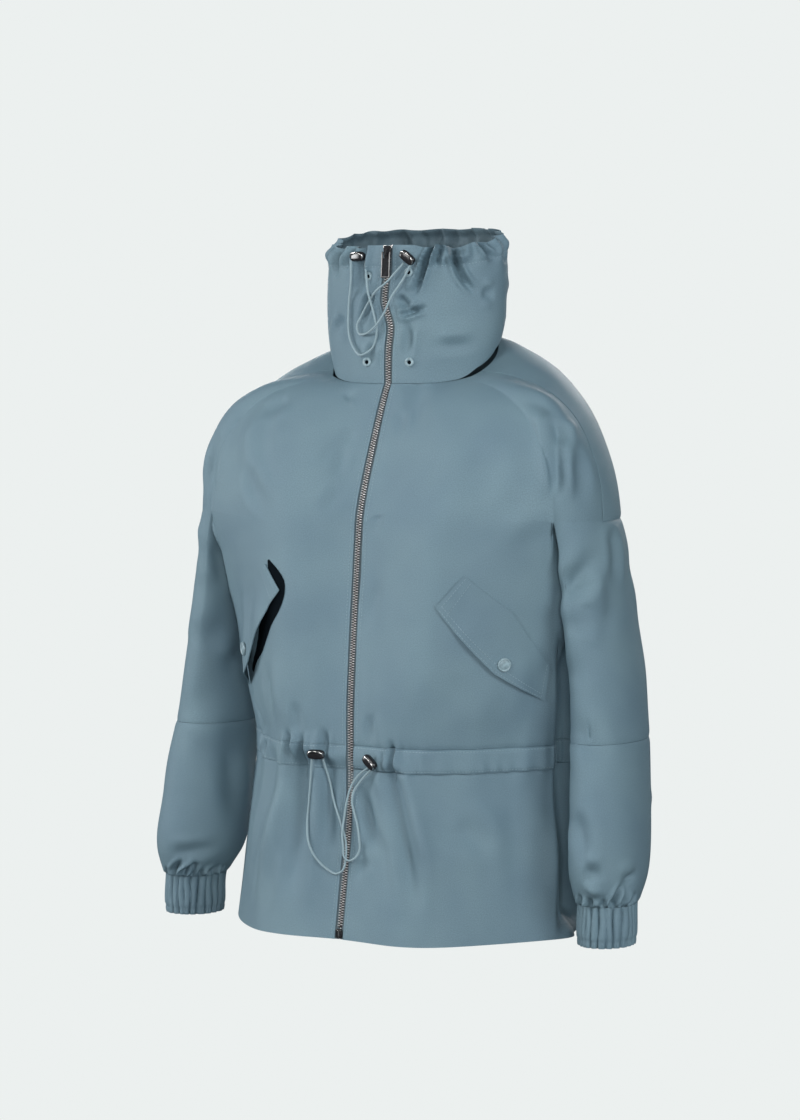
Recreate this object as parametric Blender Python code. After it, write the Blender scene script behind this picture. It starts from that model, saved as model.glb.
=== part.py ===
"""Funnel-neck parka, hollow as it is worn.

Metres, +Z up. The front faces -Y and the wearer's left is at +X. The origin lies
inside the neck, level with the shoulder points, where the wearer carries it.
"""

import math

import bmesh
import bpy
import numpy as np
from mathutils import Matrix, Vector

# Cloth walls and the gaps between sewn pieces
WALL = 0.0016
CUFF_WALL = 0.0020
GAP = 0.0003

# Levels
ARMHOLE_Z = -0.178
ELBOW_Z = -0.405
CASING_TOP_Z = -0.415
CASING_BOTTOM_Z = -0.440
CUFF_TOP_Z = -0.572
CUFF_BOTTOM_Z = -0.614
HEM_Z = -0.616

# Neck seam, an ellipse that is low at the front
NECK_HALF_WIDTH = 0.095
NECK_HALF_DEPTH = 0.060
NECK_Y = 0.020
NECK_FRONT_Z = -0.038
NECK_BACK_Z = 0.015

# Collar rim and the slot under the collar, from the wearer's left side round the back
RIM_FRONT_Z = 0.108
RIM_BACK_Z = 0.129
RIM_GATHERS = 15
RIM_GATHER_DEPTH = 0.0022
COLLAR_ROWS = 8
SLOT_START_DEG = 50.0
SLOT_FULL_DEG = 84.0
SLOT_LATER_RIGHT_DEG = 70.0
SLOT_HEIGHT = 0.012
WELT_BELOW_COLLAR = 0.007

# Places along a level: 0 centre front, 1 front fold beside the arm, 2 back fold
# beside the arm, 3 centre back. Between 1 and 2 lies the side or the arm.
FRONT_EDGE_Q = 0.026
SHOULDER_SEAM_Q = 1.42
SIDE_SEAM_Q = 1.5
CENTRE_BACK_Q = 3.0
SEAM_Q = 0.0014
NECK_END_R = 0.996
COLLAR_EDGE_DEG = 2.9

# Gathers
CUFF_GATHERS = 24
CUFF_GATHER_DEPTH = 0.0011
WAIST_GATHER_DEPTH = 0.0016
WAIST_GATHER_REACH = 0.035
CASING_SWELL = 0.0026

# Zip
CHAIN_HALF_WIDTH = 0.0030
CHAIN_OUT = 0.0009
CHAIN_IN = 0.0016
TAPE_INNER_X = 0.0006
TAPE_INNER_DEG = 0.34
TAPE_OUTER_Q = 0.075
TAPE_OUTER_DEG = 9.5
TAPE_THICKNESS = 0.0010
SLIDER_Z = 0.1000
PULL_LENGTH = 0.0270
PULL_WIDTH = 0.0105
PULL_THICKNESS = 0.0018

# Hardware
EYELET_RADIUS = 0.0050
EYELET_HOLE = 0.0021
EYELET_HEIGHT = 0.0012
SNAP_RADIUS = 0.0074
SNAP_HEIGHT = 0.0019
LOCK_WIDTH = 0.0170
LOCK_HEIGHT = 0.0090
LOCK_DEPTH = 0.0080
CORD_DIAMETER = 0.0023
CORD_STEP = 0.0095

# Colours, as linear red, green, blue
CLOTH = (0.165, 0.252, 0.300)
TAPE_CLOTH = (0.120, 0.170, 0.200)
STEEL = (0.450, 0.450, 0.440)
DARK_STEEL = (0.120, 0.120, 0.125)
PEWTER = (0.330, 0.340, 0.345)
CORD_CLOTH = (0.150, 0.200, 0.230)


def table(names, *rows):
    """A short table: each named column as an array, with a row for each section."""
    return dict(zip(names.split(), np.array(rows, float).T))


# Body levels from the hem up: centre front, chest, front fold, side, back fold,
# shoulder blade and centre back.
BODY = table(
    "z      cf_y    chest_y edge_x edge_y  side_x corner_x corner_y blade_y cb_y",
    (-0.616, -0.142, -0.139, 0.198, -0.028, 0.194, 0.172, 0.064, 0.112, 0.118),
    (-0.520, -0.127, -0.127, 0.192, -0.017, 0.188, 0.172, 0.062, 0.100, 0.104),
    (-0.440, -0.117, -0.113, 0.185, -0.010, 0.181, 0.170, 0.057, 0.090, 0.092),
    (-0.415, -0.116, -0.113, 0.186, -0.010, 0.182, 0.170, 0.057, 0.090, 0.092),
    (-0.370, -0.114, -0.117, 0.192, -0.017, 0.186, 0.172, 0.057, 0.094, 0.096),
    (-0.300, -0.106, -0.116, 0.197, -0.032, 0.187, 0.174, 0.056, 0.098, 0.100),
    (-0.250, -0.101, -0.113, 0.201, -0.044, 0.190, 0.181, 0.056, 0.101, 0.101),
    (-0.200, -0.097, -0.108, 0.203, -0.060, 0.196, 0.198, 0.063, 0.106, 0.104),
    (-0.178, -0.095, -0.105, 0.209, -0.062, 0.202, 0.209, 0.066, 0.107, 0.105),
)
CHEST_SHARE = 0.50
BLADE_SHARE = 0.56
ARMHOLE_BLEND = 0.050

# Sleeve levels from the cuff up: centre, and reach outwards, inwards and front to back.
# The wearer's right sleeve reaches further in, and that side hangs a little lower.
SLEEVE = table(
    "z      x       y       r_out  r_in   r_in_right r_depth",
    (-0.614, 0.2560, -0.030, 0.0310, 0.0310, 0.0350, 0.0370),
    (-0.572, 0.2560, -0.028, 0.0315, 0.0315, 0.0370, 0.0390),
    (-0.545, 0.2560, -0.024, 0.0365, 0.0365, 0.0520, 0.0530),
    (-0.475, 0.2515, -0.014, 0.0370, 0.0360, 0.0510, 0.0600),
    (-0.410, 0.2435, -0.001, 0.0370, 0.0320, 0.0450, 0.0620),
    (-0.340, 0.2335, 0.006, 0.0360, 0.0260, 0.0300, 0.0640),
    (-0.250, 0.2200, 0.006, 0.0350, 0.0160, 0.0160, 0.0650),
    (-0.200, 0.2140, 0.003, 0.0345, 0.0090, 0.0090, 0.0643),
    (-0.178, 0.2090, 0.002, 0.0340, 0.0060, 0.0060, 0.0640),
)
RIGHT_SLEEVE_DROP = 0.011
RIGHT_HEM_DROP = 0.008

# Rays from the armhole level up to the neck seam: where each ends round the neck,
# and how square it runs (1 straight, 2 a quarter ellipse, more is squarer).
RAYS = table(
    "q    neck_deg power",
    (0.00, 0.0, 1.12),
    (0.12, 13.0, 1.14),
    (0.50, 32.0, 1.45),
    (1.00, 50.0, 2.25),
    (1.22, 59.0, 2.70),
    (1.42, 69.0, 2.28),
    (1.58, 96.0, 1.96),
    (2.00, 122.0, 1.90),
    (2.50, 150.0, 1.60),
    (3.00, 180.0, 1.45),
)

# Collar levels from the neck seam to the rim.
COLLAR = table(
    "h    half_width half_depth y",
    (0.00, 0.0950, 0.0600, 0.0200),
    (0.20, 0.1020, 0.0620, 0.0205),
    (0.50, 0.1060, 0.0625, 0.0215),
    (0.80, 0.1050, 0.0615, 0.0225),
    (1.00, 0.1030, 0.0600, 0.0230),
)

# How far the zip wanders sideways, by height.
ZIP_WAVE = table(
    "z      x",
    (-0.620, 0.0000),
    (-0.470, 0.0010),
    (-0.420, -0.0010),
    (-0.060, 0.0000),
    (0.000, 0.0020),
    (0.022, 0.0040),
    (0.048, -0.0035),
    (0.080, -0.0010),
    (0.110, 0.0000),
)
ZIP_WAVE_WIDTH = 0.060

# Main folds: ends as (place along the level, height), half-width and depth in metres.
# A negative depth is a ridge.
FRONT_FOLDS = table(
    "q0   z0      q1    z1      width  depth",
    (0.99, -0.200, 1.20, -0.080, 0.013, 0.0040),
    (0.88, -0.200, 0.95, -0.090, 0.014, -0.0030),
    (0.80, -0.400, 0.35, -0.340, 0.014, 0.0030),
    (0.20, -0.400, 0.45, -0.370, 0.011, 0.0022),
    (0.94, -0.330, 0.60, -0.405, 0.012, 0.0026),
)
SKIRT_FOLDS = table(
    "q0   z0      q1    z1      width  depth",
    (0.16, -0.470, 0.34, -0.600, 0.014, 0.0045),
    (0.34, -0.460, 0.50, -0.570, 0.013, -0.0035),
    (0.62, -0.500, 0.84, -0.560, 0.013, 0.0030),
    (0.80, -0.450, 0.86, -0.600, 0.014, 0.0030),
)
BACK_FOLDS = table(
    "q0   z0      q1    z1      width  depth",
    (2.00, -0.210, 1.86, -0.085, 0.011, 0.0050),
    (2.10, -0.380, 2.55, -0.320, 0.014, 0.0030),
    (2.20, -0.470, 2.30, -0.590, 0.014, 0.0035),
    (2.60, -0.460, 2.72, -0.590, 0.014, 0.0035),
)
# Sleeve folds: places run once round, from 0 at the front through 0.25 outside.
SLEEVE_FOLDS = table(
    "q0   z0      q1    z1      width  depth",
    (0.02, -0.300, 0.20, -0.340, 0.011, 0.0028),
    (0.90, -0.375, 0.12, -0.430, 0.012, 0.0036),
    (0.14, -0.440, 0.38, -0.470, 0.012, 0.0032),
    (0.02, -0.500, 0.22, -0.520, 0.010, 0.0030),
    (0.12, -0.545, 0.34, -0.535, 0.010, 0.0032),
    (0.50, -0.380, 0.70, -0.430, 0.012, 0.0030),
    (0.45, -0.520, 0.65, -0.540, 0.010, 0.0030),
)
# Metres per unit of place, for measuring how far a point lies from a fold.
BODY_SPAN = 0.21
SLEEVE_SPAN = 0.32

# Collar folds: ends as (degrees from the zip, height share), half-width in metres.
COLLAR_FOLDS = table(
    "q0    z0    q1    z1    width  depth",
    (27.0, 0.98, 19.0, 0.66, 0.0060, 0.0045),
    (44.0, 1.00, 58.0, 0.62, 0.0070, 0.0035),
    (66.0, 1.00, 74.0, 0.80, 0.0060, 0.0030),
    (17.0, 0.47, 30.0, 0.53, 0.0060, 0.0025),
    (30.0, 0.26, 62.0, 0.26, 0.0080, 0.0022),
    (-24.0, 0.98, -34.0, 0.70, 0.0060, 0.0035),
    (-46.0, 1.00, -52.0, 0.70, 0.0060, 0.0030),
)
COLLAR_DEG_SPAN = 0.0018
COLLAR_HEIGHT_SPAN = 0.150

# Pocket flap on the wearer's left: where it is sewn on and where its free edge lies.
FLAP = table(
    "along sewn_x sewn_z  free_x free_z",
    (0.00, 0.1270, -0.233, 0.1000, -0.266),
    (0.50, 0.1660, -0.270, 0.1480, -0.335),
    (1.00, 0.1900, -0.330, 0.1830, -0.366),
)
FLAP_RIGHT_SHIFT = (-0.0180, 0.0040)
FLAP_SEAT = 0.0009
FLAP_LIFT = 0.0035
FLAP_LIFT_OPEN = 0.0090
SNAP_ALONG = 0.56
SNAP_ACROSS = 0.78

# Drawcord loops from one end in the lock to the other: sideways from the centre line,
# height, and height of the cord's underside over the cloth.
COLLAR_CORD_RIGHT = table(
    "x      z      lift",
    (-0.0425, 0.0919, 0.0030),
    (-0.0438, 0.0700, 0.0017),
    (-0.0475, 0.0460, 0.0016),
    (-0.0515, 0.0280, 0.0016),
    (-0.0500, 0.0120, 0.0018),
    (-0.0420, -0.0010, 0.0022),
    (-0.0315, -0.0080, 0.0026),
    (-0.0210, -0.0010, 0.0024),
    (-0.0145, 0.0170, 0.0020),
    (-0.0140, 0.0380, 0.0016),
    (-0.0168, 0.0575, 0.0018),
    (-0.0250, 0.0780, 0.0034),
    (-0.0335, 0.0919, 0.0030),
)
COLLAR_CORD_LEFT = table(
    "x      z      lift",
    (0.0205, 0.0884, 0.0034),
    (0.0120, 0.0780, 0.0046),
    (0.0050, 0.0690, 0.0054),
    (-0.0060, 0.0600, 0.0056),
    (-0.0205, 0.0475, 0.0052),
    (-0.0335, 0.0325, 0.0030),
    (-0.0400, 0.0225, 0.0020),
    (-0.0372, 0.0148, 0.0020),
    (-0.0269, 0.0146, 0.0034),
    (-0.0149, 0.0218, 0.0054),
    (-0.0020, 0.0348, 0.0044),
    (0.0110, 0.0525, 0.0036),
    (0.0215, 0.0715, 0.0036),
    (0.0290, 0.0884, 0.0034),
)
WAIST_CORD_RIGHT = table(
    "x      z       lift",
    (-0.0400, -0.4310, 0.0034),
    (-0.0432, -0.4530, 0.0020),
    (-0.0450, -0.4765, 0.0017),
    (-0.0445, -0.5000, 0.0017),
    (-0.0397, -0.5196, 0.0017),
    (-0.0308, -0.5340, 0.0017),
    (-0.0183, -0.5447, 0.0018),
    (-0.0067, -0.5492, 0.0020),
    (0.0012, -0.5445, 0.0022),
    (0.0034, -0.5325, 0.0022),
    (0.0004, -0.5150, 0.0020),
    (-0.0058, -0.4969, 0.0018),
    (-0.0177, -0.4742, 0.0017),
    (-0.0243, -0.4550, 0.0020),
    (-0.0310, -0.4310, 0.0034),
)
WAIST_CORD_LEFT = table(
    "x      z       lift",
    (0.0265, -0.4356, 0.0034),
    (0.0150, -0.4440, 0.0034),
    (0.0060, -0.4560, 0.0034),
    (0.0004, -0.4718, 0.0036),
    (-0.0014, -0.4897, 0.0042),
    (-0.0016, -0.5075, 0.0056),
    (0.0000, -0.5220, 0.0058),
    (0.0030, -0.5304, 0.0058),
    (0.0091, -0.5345, 0.0048),
    (0.0160, -0.5315, 0.0030),
    (0.0203, -0.5232, 0.0018),
    (0.0200, -0.5100, 0.0017),
    (0.0164, -0.4969, 0.0018),
    (0.0112, -0.4837, 0.0024),
    (0.0076, -0.4740, 0.0030),
    (0.0080, -0.4634, 0.0032),
    (0.0150, -0.4530, 0.0034),
    (0.0340, -0.4356, 0.0034),
)

# Cord locks: sideways from the centre line, height, and seat over the cloth.
LOCKS = {
    "lock_collar_right": (-0.0380, 0.0974, 0.0015),
    "lock_collar_left": (0.0248, 0.0940, 0.0015),
    "lock_waist_right": (-0.0355, -0.4255, 0.0032),
    "lock_waist_left": (0.0303, -0.4300, 0.0040),
}
# Eyelets: sideways from the centre line and height.
EYELETS = {
    "eyelet_collar_upper_right": (-0.0250, 0.0755),
    "eyelet_collar_upper_left": (0.0250, 0.0790),
    "eyelet_collar_lower_right": (-0.0270, -0.0155),
    "eyelet_collar_lower_left": (0.0250, -0.0155),
}


def smooth(t):
    """A soft step from 0 to 1."""
    t = np.clip(t, 0.0, 1.0)
    return t * t * (3.0 - 2.0 * t)


def signed_power(base, power):
    return np.sign(base) * np.abs(base) ** power


def through(knots, values, at):
    """A smooth curve through table values, with slopes taken from the neighbouring rows."""
    at = np.asarray(at, float)
    slopes = np.gradient(values, knots)
    k = np.clip(np.searchsorted(knots, at, side="right") - 1, 0, len(knots) - 2)
    step = knots[k + 1] - knots[k]
    t = np.clip((at - knots[k]) / step, 0.0, 1.0)
    start = (1.0 + 2.0 * t) * (1.0 - t) ** 2 * values[k] + t * (1.0 - t) ** 2 * step * slopes[k]
    end = t * t * (3.0 - 2.0 * t) * values[k + 1] + t * t * (t - 1.0) * step * slopes[k + 1]
    return start + end


def look_up(rows, key, at):
    """Each column of a table at given places along its first column."""
    return {name: through(rows[key], rows[name], at) for name in rows if name != key}


def straight(rows, key, at):
    """Each column of a table with straight stretches between its rows."""
    return {name: np.interp(at, rows[key], rows[name]) for name in rows if name != key}


def fold_depth(folds, span, q, z, height_span=1.0):
    """How far the main folds press the cloth in at (q, z)."""
    total = np.zeros(np.broadcast(q, z).shape)
    for q0, z0, q1, z1, width, depth in zip(*folds.values()):
        along = np.array([(q1 - q0) * span, (z1 - z0) * height_span])
        from_start = np.stack(
            np.broadcast_arrays((q - q0) * span, (z - z0) * height_span), axis=-1
        )
        share = np.clip(from_start @ along / (along @ along), 0.0, 1.0)
        distance = np.linalg.norm(from_start - share[..., None] * along, axis=-1)
        total = total + depth * np.exp(-((distance / width) ** 2))
    return total


def points(x, y, z):
    return np.stack(np.broadcast_arrays(x, y, z), axis=-1).astype(float)


def wander(p):
    """Lets everything near the zip follow its sideways wave."""
    near = np.exp(-((p[..., 0] / ZIP_WAVE_WIDTH) ** 2)) * smooth(-p[..., 1] / 0.03)
    shift = through(ZIP_WAVE["z"], ZIP_WAVE["x"], p[..., 2]) * near
    return p + shift[..., None] * np.array([1.0, 0.0, 0.0])


def body_section(q, z):
    """A body level: a smooth curve through its seven named places."""
    q, z = np.broadcast_arrays(np.asarray(q, float), np.asarray(z, float))
    row = look_up(BODY, "z", z)
    chest_x = CHEST_SHARE * row["edge_x"]
    blade_x = BLADE_SHARE * row["corner_x"]
    side_y = (row["edge_y"] + row["corner_y"]) / 2.0
    none = np.zeros_like(z)
    xs = np.stack(
        [-chest_x, none, chest_x, row["edge_x"], row["side_x"], row["corner_x"], blade_x, none, -blade_x]
    )
    ys = np.stack(
        [row["chest_y"], row["cf_y"], row["chest_y"], row["edge_y"], side_y]
        + [row["corner_y"], row["blade_y"], row["cb_y"], row["blade_y"]]
    )
    k = np.clip(np.floor(q * 2.0).astype(int), 0, 5)
    t = q * 2.0 - k

    def blend(values):
        before, start, end, after = (np.take_along_axis(values, k[None] + i, 0)[0] for i in range(4))
        return start + 0.5 * t * (
            end - before
            + t * (2.0 * before - 5.0 * start + 4.0 * end - after + t * (3.0 * (start - end) + after - before))
        )

    return blend(xs), blend(ys)


def arm_ring(turn, z, side=1.0):
    """A sleeve level; turn runs once round, from 0 at the front through 0.25 outside."""
    row = look_up(SLEEVE, "z", z)
    angle = 2.0 * math.pi * turn - math.pi / 2.0
    inner = row["r_in"] if side > 0.0 else row["r_in_right"]
    reach = np.where(np.cos(angle) > 0.0, row["r_out"], inner)
    return row["x"] + reach * np.cos(angle), row["y"] + row["r_depth"] * np.sin(angle)


def neck_seam_z(degrees):
    return NECK_FRONT_Z + (NECK_BACK_Z - NECK_FRONT_Z) * smooth((1.0 - np.cos(np.radians(degrees))) / 2.0)


def lower_body(q, z, side=1.0):
    """The body below the armhole level; beside the armhole its side follows the sleeve."""
    x, y = body_section(q, z)
    ring_x, ring_y = arm_ring(1.0 - (q - 1.0) / 2.0, np.full(np.shape(q), ARMHOLE_Z))
    ring_x = ring_x - 4.0 * GAP * np.sin(math.pi * (q - 1.0))
    own = smooth((ARMHOLE_Z - z) / ARMHOLE_BLEND)
    own = np.where((q > 1.0) & (q < 2.0), own, 1.0)
    below_waist = (CASING_BOTTOM_Z - z) / (CASING_BOTTOM_Z - HEM_Z)
    drop = RIGHT_HEM_DROP * smooth(below_waist) * smooth((q - 0.4) / 0.7) * smooth(3.0 - q)
    fall = z if side > 0.0 else z - drop
    return wander(points(side * (own * x + (1.0 - own) * ring_x), own * y + (1.0 - own) * ring_y, fall))


def upper_body(q, r, side=1.0):
    """The body from the armhole level, r = 0, to the neck seam, r = 1."""
    x, y = body_section(q, np.full(np.shape(q), ARMHOLE_Z))
    ring_x, ring_y = arm_ring((q - 1.0) / 2.0, np.full(np.shape(q), ARMHOLE_Z))
    on_arm = (q > 1.0) & (q < 2.0)
    x = np.where(on_arm, ring_x, x)
    y = np.where(on_arm, ring_y, y)
    row = look_up(RAYS, "q", q)
    angle = np.radians(row["neck_deg"])
    quarter = math.pi / 2.0 * r
    inward = 1.0 - signed_power(np.cos(quarter), 2.0 / row["power"])
    upward = signed_power(np.sin(quarter), 2.0 / row["power"])
    return wander(
        points(
            side * (x + (NECK_HALF_WIDTH * np.sin(angle) - x) * inward),
            y + (NECK_Y - NECK_HALF_DEPTH * np.cos(angle) - y) * inward,
            ARMHOLE_Z + (neck_seam_z(row["neck_deg"]) - ARMHOLE_Z) * upward,
        )
    )


def sleeve(turn, z, side=1.0):
    x, y = arm_ring(turn, z, side)
    drop = RIGHT_SLEEVE_DROP * smooth((ARMHOLE_Z - z) / (ARMHOLE_Z - CUFF_TOP_Z))
    return points(side * x, y, z if side > 0.0 else z - drop)


def collar(degrees, h):
    """The collar from the neck seam, h = 0, to the rim, h = 1."""
    row = look_up(COLLAR, "h", h)
    angle = np.radians(degrees)
    seam = neck_seam_z(degrees)
    rim = RIM_FRONT_Z + (RIM_BACK_Z - RIM_FRONT_Z) * smooth((1.0 - np.cos(angle)) / 2.0)
    return wander(
        points(
            row["half_width"] * np.sin(angle),
            row["y"] - row["half_depth"] * np.cos(angle),
            seam + (rim - seam) * h,
        )
    )


def normals(surface, u, v, side=1.0, du=0.0005):
    """Outward normals of a surface whose u runs round from the front and whose v runs up."""
    dv = 0.0005
    extra = () if side > 0.0 else (side,)
    across = surface(u + du, v, *extra) - surface(u - du, v, *extra)
    up = surface(u, v + dv, *extra) - surface(u, v - dv, *extra)
    n = side * np.cross(across, up)
    return n / np.linalg.norm(n, axis=-1, keepdims=True)


def waist_gathers(q, z):
    """Small waves where the waist cord draws the cloth together."""
    waves = np.cos(2.0 * math.pi * (5.0 * q + 0.35 * np.sin(4.0 * q) + 0.2 * np.sin(9.0 * q)))
    away = np.maximum(z - CASING_TOP_Z, CASING_BOTTOM_Z - z)
    fade = np.exp(-np.clip(away, 0.0, None) / WAIST_GATHER_REACH)
    return WAIST_GATHER_DEPTH * waves * fade * smooth((q - TAPE_OUTER_Q) / 0.12)


def body_press(q, z):
    """All that presses the body's cloth in: folds and waist gathers."""
    folds = fold_depth(FRONT_FOLDS, BODY_SPAN, q, z) + fold_depth(SKIRT_FOLDS, BODY_SPAN, q, z)
    return folds + fold_depth(BACK_FOLDS, BODY_SPAN, q, z) + waist_gathers(q, z)


def body_normals(q, v, upper, side):
    """Body normals, with one shared set along the level where upper and lower body meet."""
    surface, level = (upper_body, 0.0) if upper else (lower_body, ARMHOLE_Z)
    n = normals(surface, q, v, side)
    shared = normals(lower_body, q, ARMHOLE_Z + 0.0 * v, side) + normals(upper_body, q, 0.0 * v, side)
    shared = shared / np.linalg.norm(shared, axis=-1, keepdims=True)
    meets = (np.abs(v - level) < 1e-9) & ((q <= 1.0) | (q >= 2.0))
    return np.where(meets[..., None], shared, n)


def body_grid(qs, vs, upper, side):
    """Points and normals of a stretch of the body's cloth on one side."""
    q, v = np.meshgrid(qs, vs)
    p = upper_body(q, v, side) if upper else lower_body(q, v, side)
    n = body_normals(q, v, upper, side)
    return p - n * body_press(q, p[..., 2])[..., None], n


def weld(grids):
    """Joins grids of points where their rows or columns share the same places."""
    index = {}
    verts = []
    norms = []
    quads = []
    for p, n in grids:
        rows, columns = p.shape[:2]
        ids = np.zeros((rows, columns), int)
        for i in range(rows):
            for j in range(columns):
                key = tuple(np.round(p[i, j], 6) + 0.0)
                if key not in index:
                    index[key] = len(verts)
                    verts.append(p[i, j])
                    norms.append(np.zeros(3))
                ids[i, j] = index[key]
                norms[ids[i, j]] = norms[ids[i, j]] + n[i, j]
        for i in range(rows - 1):
            for j in range(columns - 1):
                quads.append((ids[i, j], ids[i, j + 1], ids[i + 1, j + 1], ids[i + 1, j]))
    norms = np.array(norms)
    return np.array(verts), norms / np.linalg.norm(norms, axis=1, keepdims=True), quads


def material(name, colour, roughness, metallic):
    made = bpy.data.materials.new(name)
    made.use_nodes = True
    shader = made.node_tree.nodes["Principled BSDF"]
    shader.inputs["Base Color"].default_value = (*colour, 1.0)
    shader.inputs["Roughness"].default_value = roughness
    shader.inputs["Metallic"].default_value = metallic
    return made


def finish(name, bm, look, matrix=None):
    """Turns a closed bmesh into a named object with its own material."""
    bmesh.ops.recalc_face_normals(bm, faces=bm.faces)
    mesh = bpy.data.meshes.new(name)
    bm.to_mesh(mesh)
    bm.free()
    mesh.shade_smooth()
    mesh.set_sharp_from_angle(angle=math.radians(40.0))
    made = bpy.data.objects.new(name, mesh)
    made.data.materials.append(material(name, *look))
    bpy.context.scene.collection.objects.link(made)
    if matrix is not None:
        made.matrix_world = matrix
    return made


def wall(name, grids, look, thickness=WALL, outset=0.0):
    """A cloth wall: an outer face, the same face set in by its thickness, and its rims."""
    verts, norms, quads = weld(grids)
    outer = verts + norms * outset
    inner = outer - norms * thickness
    count = len(verts)
    faces = [half for a, b, c, d in quads for half in ((a, b, c), (a, c, d))]
    sides = {}
    for face in faces:
        for a, b in zip(face, face[1:] + face[:1]):
            sides.setdefault((min(a, b), max(a, b)), []).append((a, b))
    faces += [tuple(count + i for i in reversed(face)) for face in faces]
    faces += [(b, a, count + a, count + b) for (a, b), *more in sides.values() if not more]
    bm = bmesh.new()
    made = [bm.verts.new(p) for p in np.concatenate([outer, inner])]
    for face in faces:
        bm.faces.new([made[i] for i in face])
    return finish(name, bm, look)


def spread(*stops):
    """Places along a line: (from, to, cells) stretches joined end to end."""
    parts = [np.linspace(start, end, cells + 1) for start, end, cells in stops]
    return np.concatenate([parts[0]] + [part[1:] for part in parts[1:]])


def body_rows():
    return spread((CASING_TOP_Z + GAP, -0.25, 8), (-0.25, ARMHOLE_Z, 3))


def ray_rows():
    return spread((0.0, 0.60, 4), (0.60, 0.90, 3), (0.90, NECK_END_R, 2))


def skirt_rows():
    return spread((HEM_Z, -0.50, 2), (-0.50, CASING_BOTTOM_Z - GAP, 3))


def half_body(side, front):
    """The body from neck seam to waist casing, front or back, on one side."""
    heights = body_rows()
    rays = ray_rows()
    if front:
        shared = spread((FRONT_EDGE_Q, 0.8, 8), (0.8, 1.0, 3))
        arm = spread((1.0, SHOULDER_SEAM_Q - SEAM_Q, 4))
        flank = spread((1.0, SIDE_SEAM_Q - SEAM_Q, 5))
    else:
        shared = spread((2.0, CENTRE_BACK_Q, 6))
        arm = spread((SHOULDER_SEAM_Q + SEAM_Q, 1.6, 2), (1.6, 2.0, 3))
        flank = spread((SIDE_SEAM_Q + SEAM_Q, 2.0, 5))
    return [
        body_grid(shared, rays, True, side),
        body_grid(arm, rays, True, side),
        body_grid(shared, heights, False, side),
        body_grid(flank, heights, False, side),
    ]


def build_body(cloth):
    for side, word in ((-1.0, "right"), (1.0, "left")):
        wall(f"front_{word}", half_body(side, True), cloth)
    wall("back", half_body(-1.0, False) + half_body(1.0, False), cloth)


def build_skirt_and_casing(cloth):
    heights = skirt_rows()
    band = spread((CASING_BOTTOM_Z, CASING_TOP_Z, 2))
    front = spread((FRONT_EDGE_Q, 1.0, 15), (1.0, SIDE_SEAM_Q - SEAM_Q, 3))
    back = spread((SIDE_SEAM_Q + SEAM_Q, 2.0, 3), (2.0, CENTRE_BACK_Q, 12))
    for side, word in ((-1.0, "right"), (1.0, "left")):
        wall(f"skirt_front_{word}", [body_grid(front, heights, False, side)], cloth)
        wall(f"waist_casing_{word}", [body_grid(front, band, False, side)], cloth, outset=CASING_SWELL)
    wall("skirt_back", [body_grid(back, heights, False, side) for side in (-1.0, 1.0)], cloth)
    both = [body_grid(back, band, False, side) for side in (-1.0, 1.0)]
    wall("waist_casing_back", both, cloth, outset=CASING_SWELL)


def sleeve_grid(turns, heights, side, press):
    turn, z = np.meshgrid(turns, heights)
    n = normals(sleeve, turn, z, side)
    return sleeve(turn, z, side) - n * press(turn, z)[..., None], n


def sleeve_press(turn, z):
    """Sleeve folds, faded out at both ends; places beyond one turn count again."""
    folds = sum(fold_depth(SLEEVE_FOLDS, SLEEVE_SPAN, turn + whole, z) for whole in (-1.0, 0.0, 1.0))
    fade = smooth((ARMHOLE_Z - z) / 0.06) * smooth((z - CUFF_TOP_Z) / 0.02)
    gathers = CUFF_GATHER_DEPTH * np.cos(2.0 * math.pi * CUFF_GATHERS / 2.0 * turn)
    return folds * fade + gathers * smooth((CUFF_TOP_Z + 0.030 - z) / 0.030)


def cuff_press(turn, z):
    return CUFF_GATHER_DEPTH * np.cos(2.0 * math.pi * CUFF_GATHERS * turn)


def build_sleeves(cloth):
    upper = spread((ELBOW_Z + GAP / 2.0, -0.22, 6), (-0.22, ARMHOLE_Z - GAP, 2))
    lower = spread((CUFF_TOP_Z + GAP, -0.54, 2), (-0.54, ELBOW_Z - GAP / 2.0, 5))
    cuff = spread((CUFF_BOTTOM_Z, CUFF_TOP_Z, 2))
    for side, word in ((-1.0, "right"), (1.0, "left")):
        wall(f"sleeve_upper_{word}", [sleeve_grid(spread((0, 1, 20)), upper, side, sleeve_press)], cloth)
        wall(f"sleeve_lower_{word}", [sleeve_grid(spread((0, 1, 20)), lower, side, sleeve_press)], cloth)
        turns = spread((0, 1, CUFF_GATHERS * 2))
        wall(f"cuff_{word}", [sleeve_grid(turns, cuff, side, cuff_press)], cloth, thickness=CUFF_WALL)


def slot_lift(degrees):
    """How far the collar's lower edge stands above the neck seam, open at the side and back."""
    around = np.mod(degrees, 360.0)
    away = np.where(around > 180.0, 360.0 - around - SLOT_LATER_RIGHT_DEG, around)
    return SLOT_HEIGHT * smooth((away - SLOT_START_DEG) / (SLOT_FULL_DEG - SLOT_START_DEG))


def collar_press(degrees, h):
    around = np.where(degrees > 180.0, degrees - 360.0, degrees)
    folds = fold_depth(COLLAR_FOLDS, COLLAR_DEG_SPAN, around, h, COLLAR_HEIGHT_SPAN)
    waves = np.cos(2.0 * math.pi * RIM_GATHERS * degrees / 360.0 + 1.2 * np.sin(np.radians(3.0 * degrees)))
    near_zip = smooth((np.abs(around) - 14.0) / 12.0)
    return folds + RIM_GATHER_DEPTH * waves * smooth((h - 0.70) / 0.30) * near_zip


def collar_cloth(degrees, h):
    """Points and normals of the collar's outer face, folds and gathers included."""
    n = normals(collar, degrees, h, du=0.05)
    return collar(degrees, h) - n * collar_press(degrees, h)[..., None], n


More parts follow.
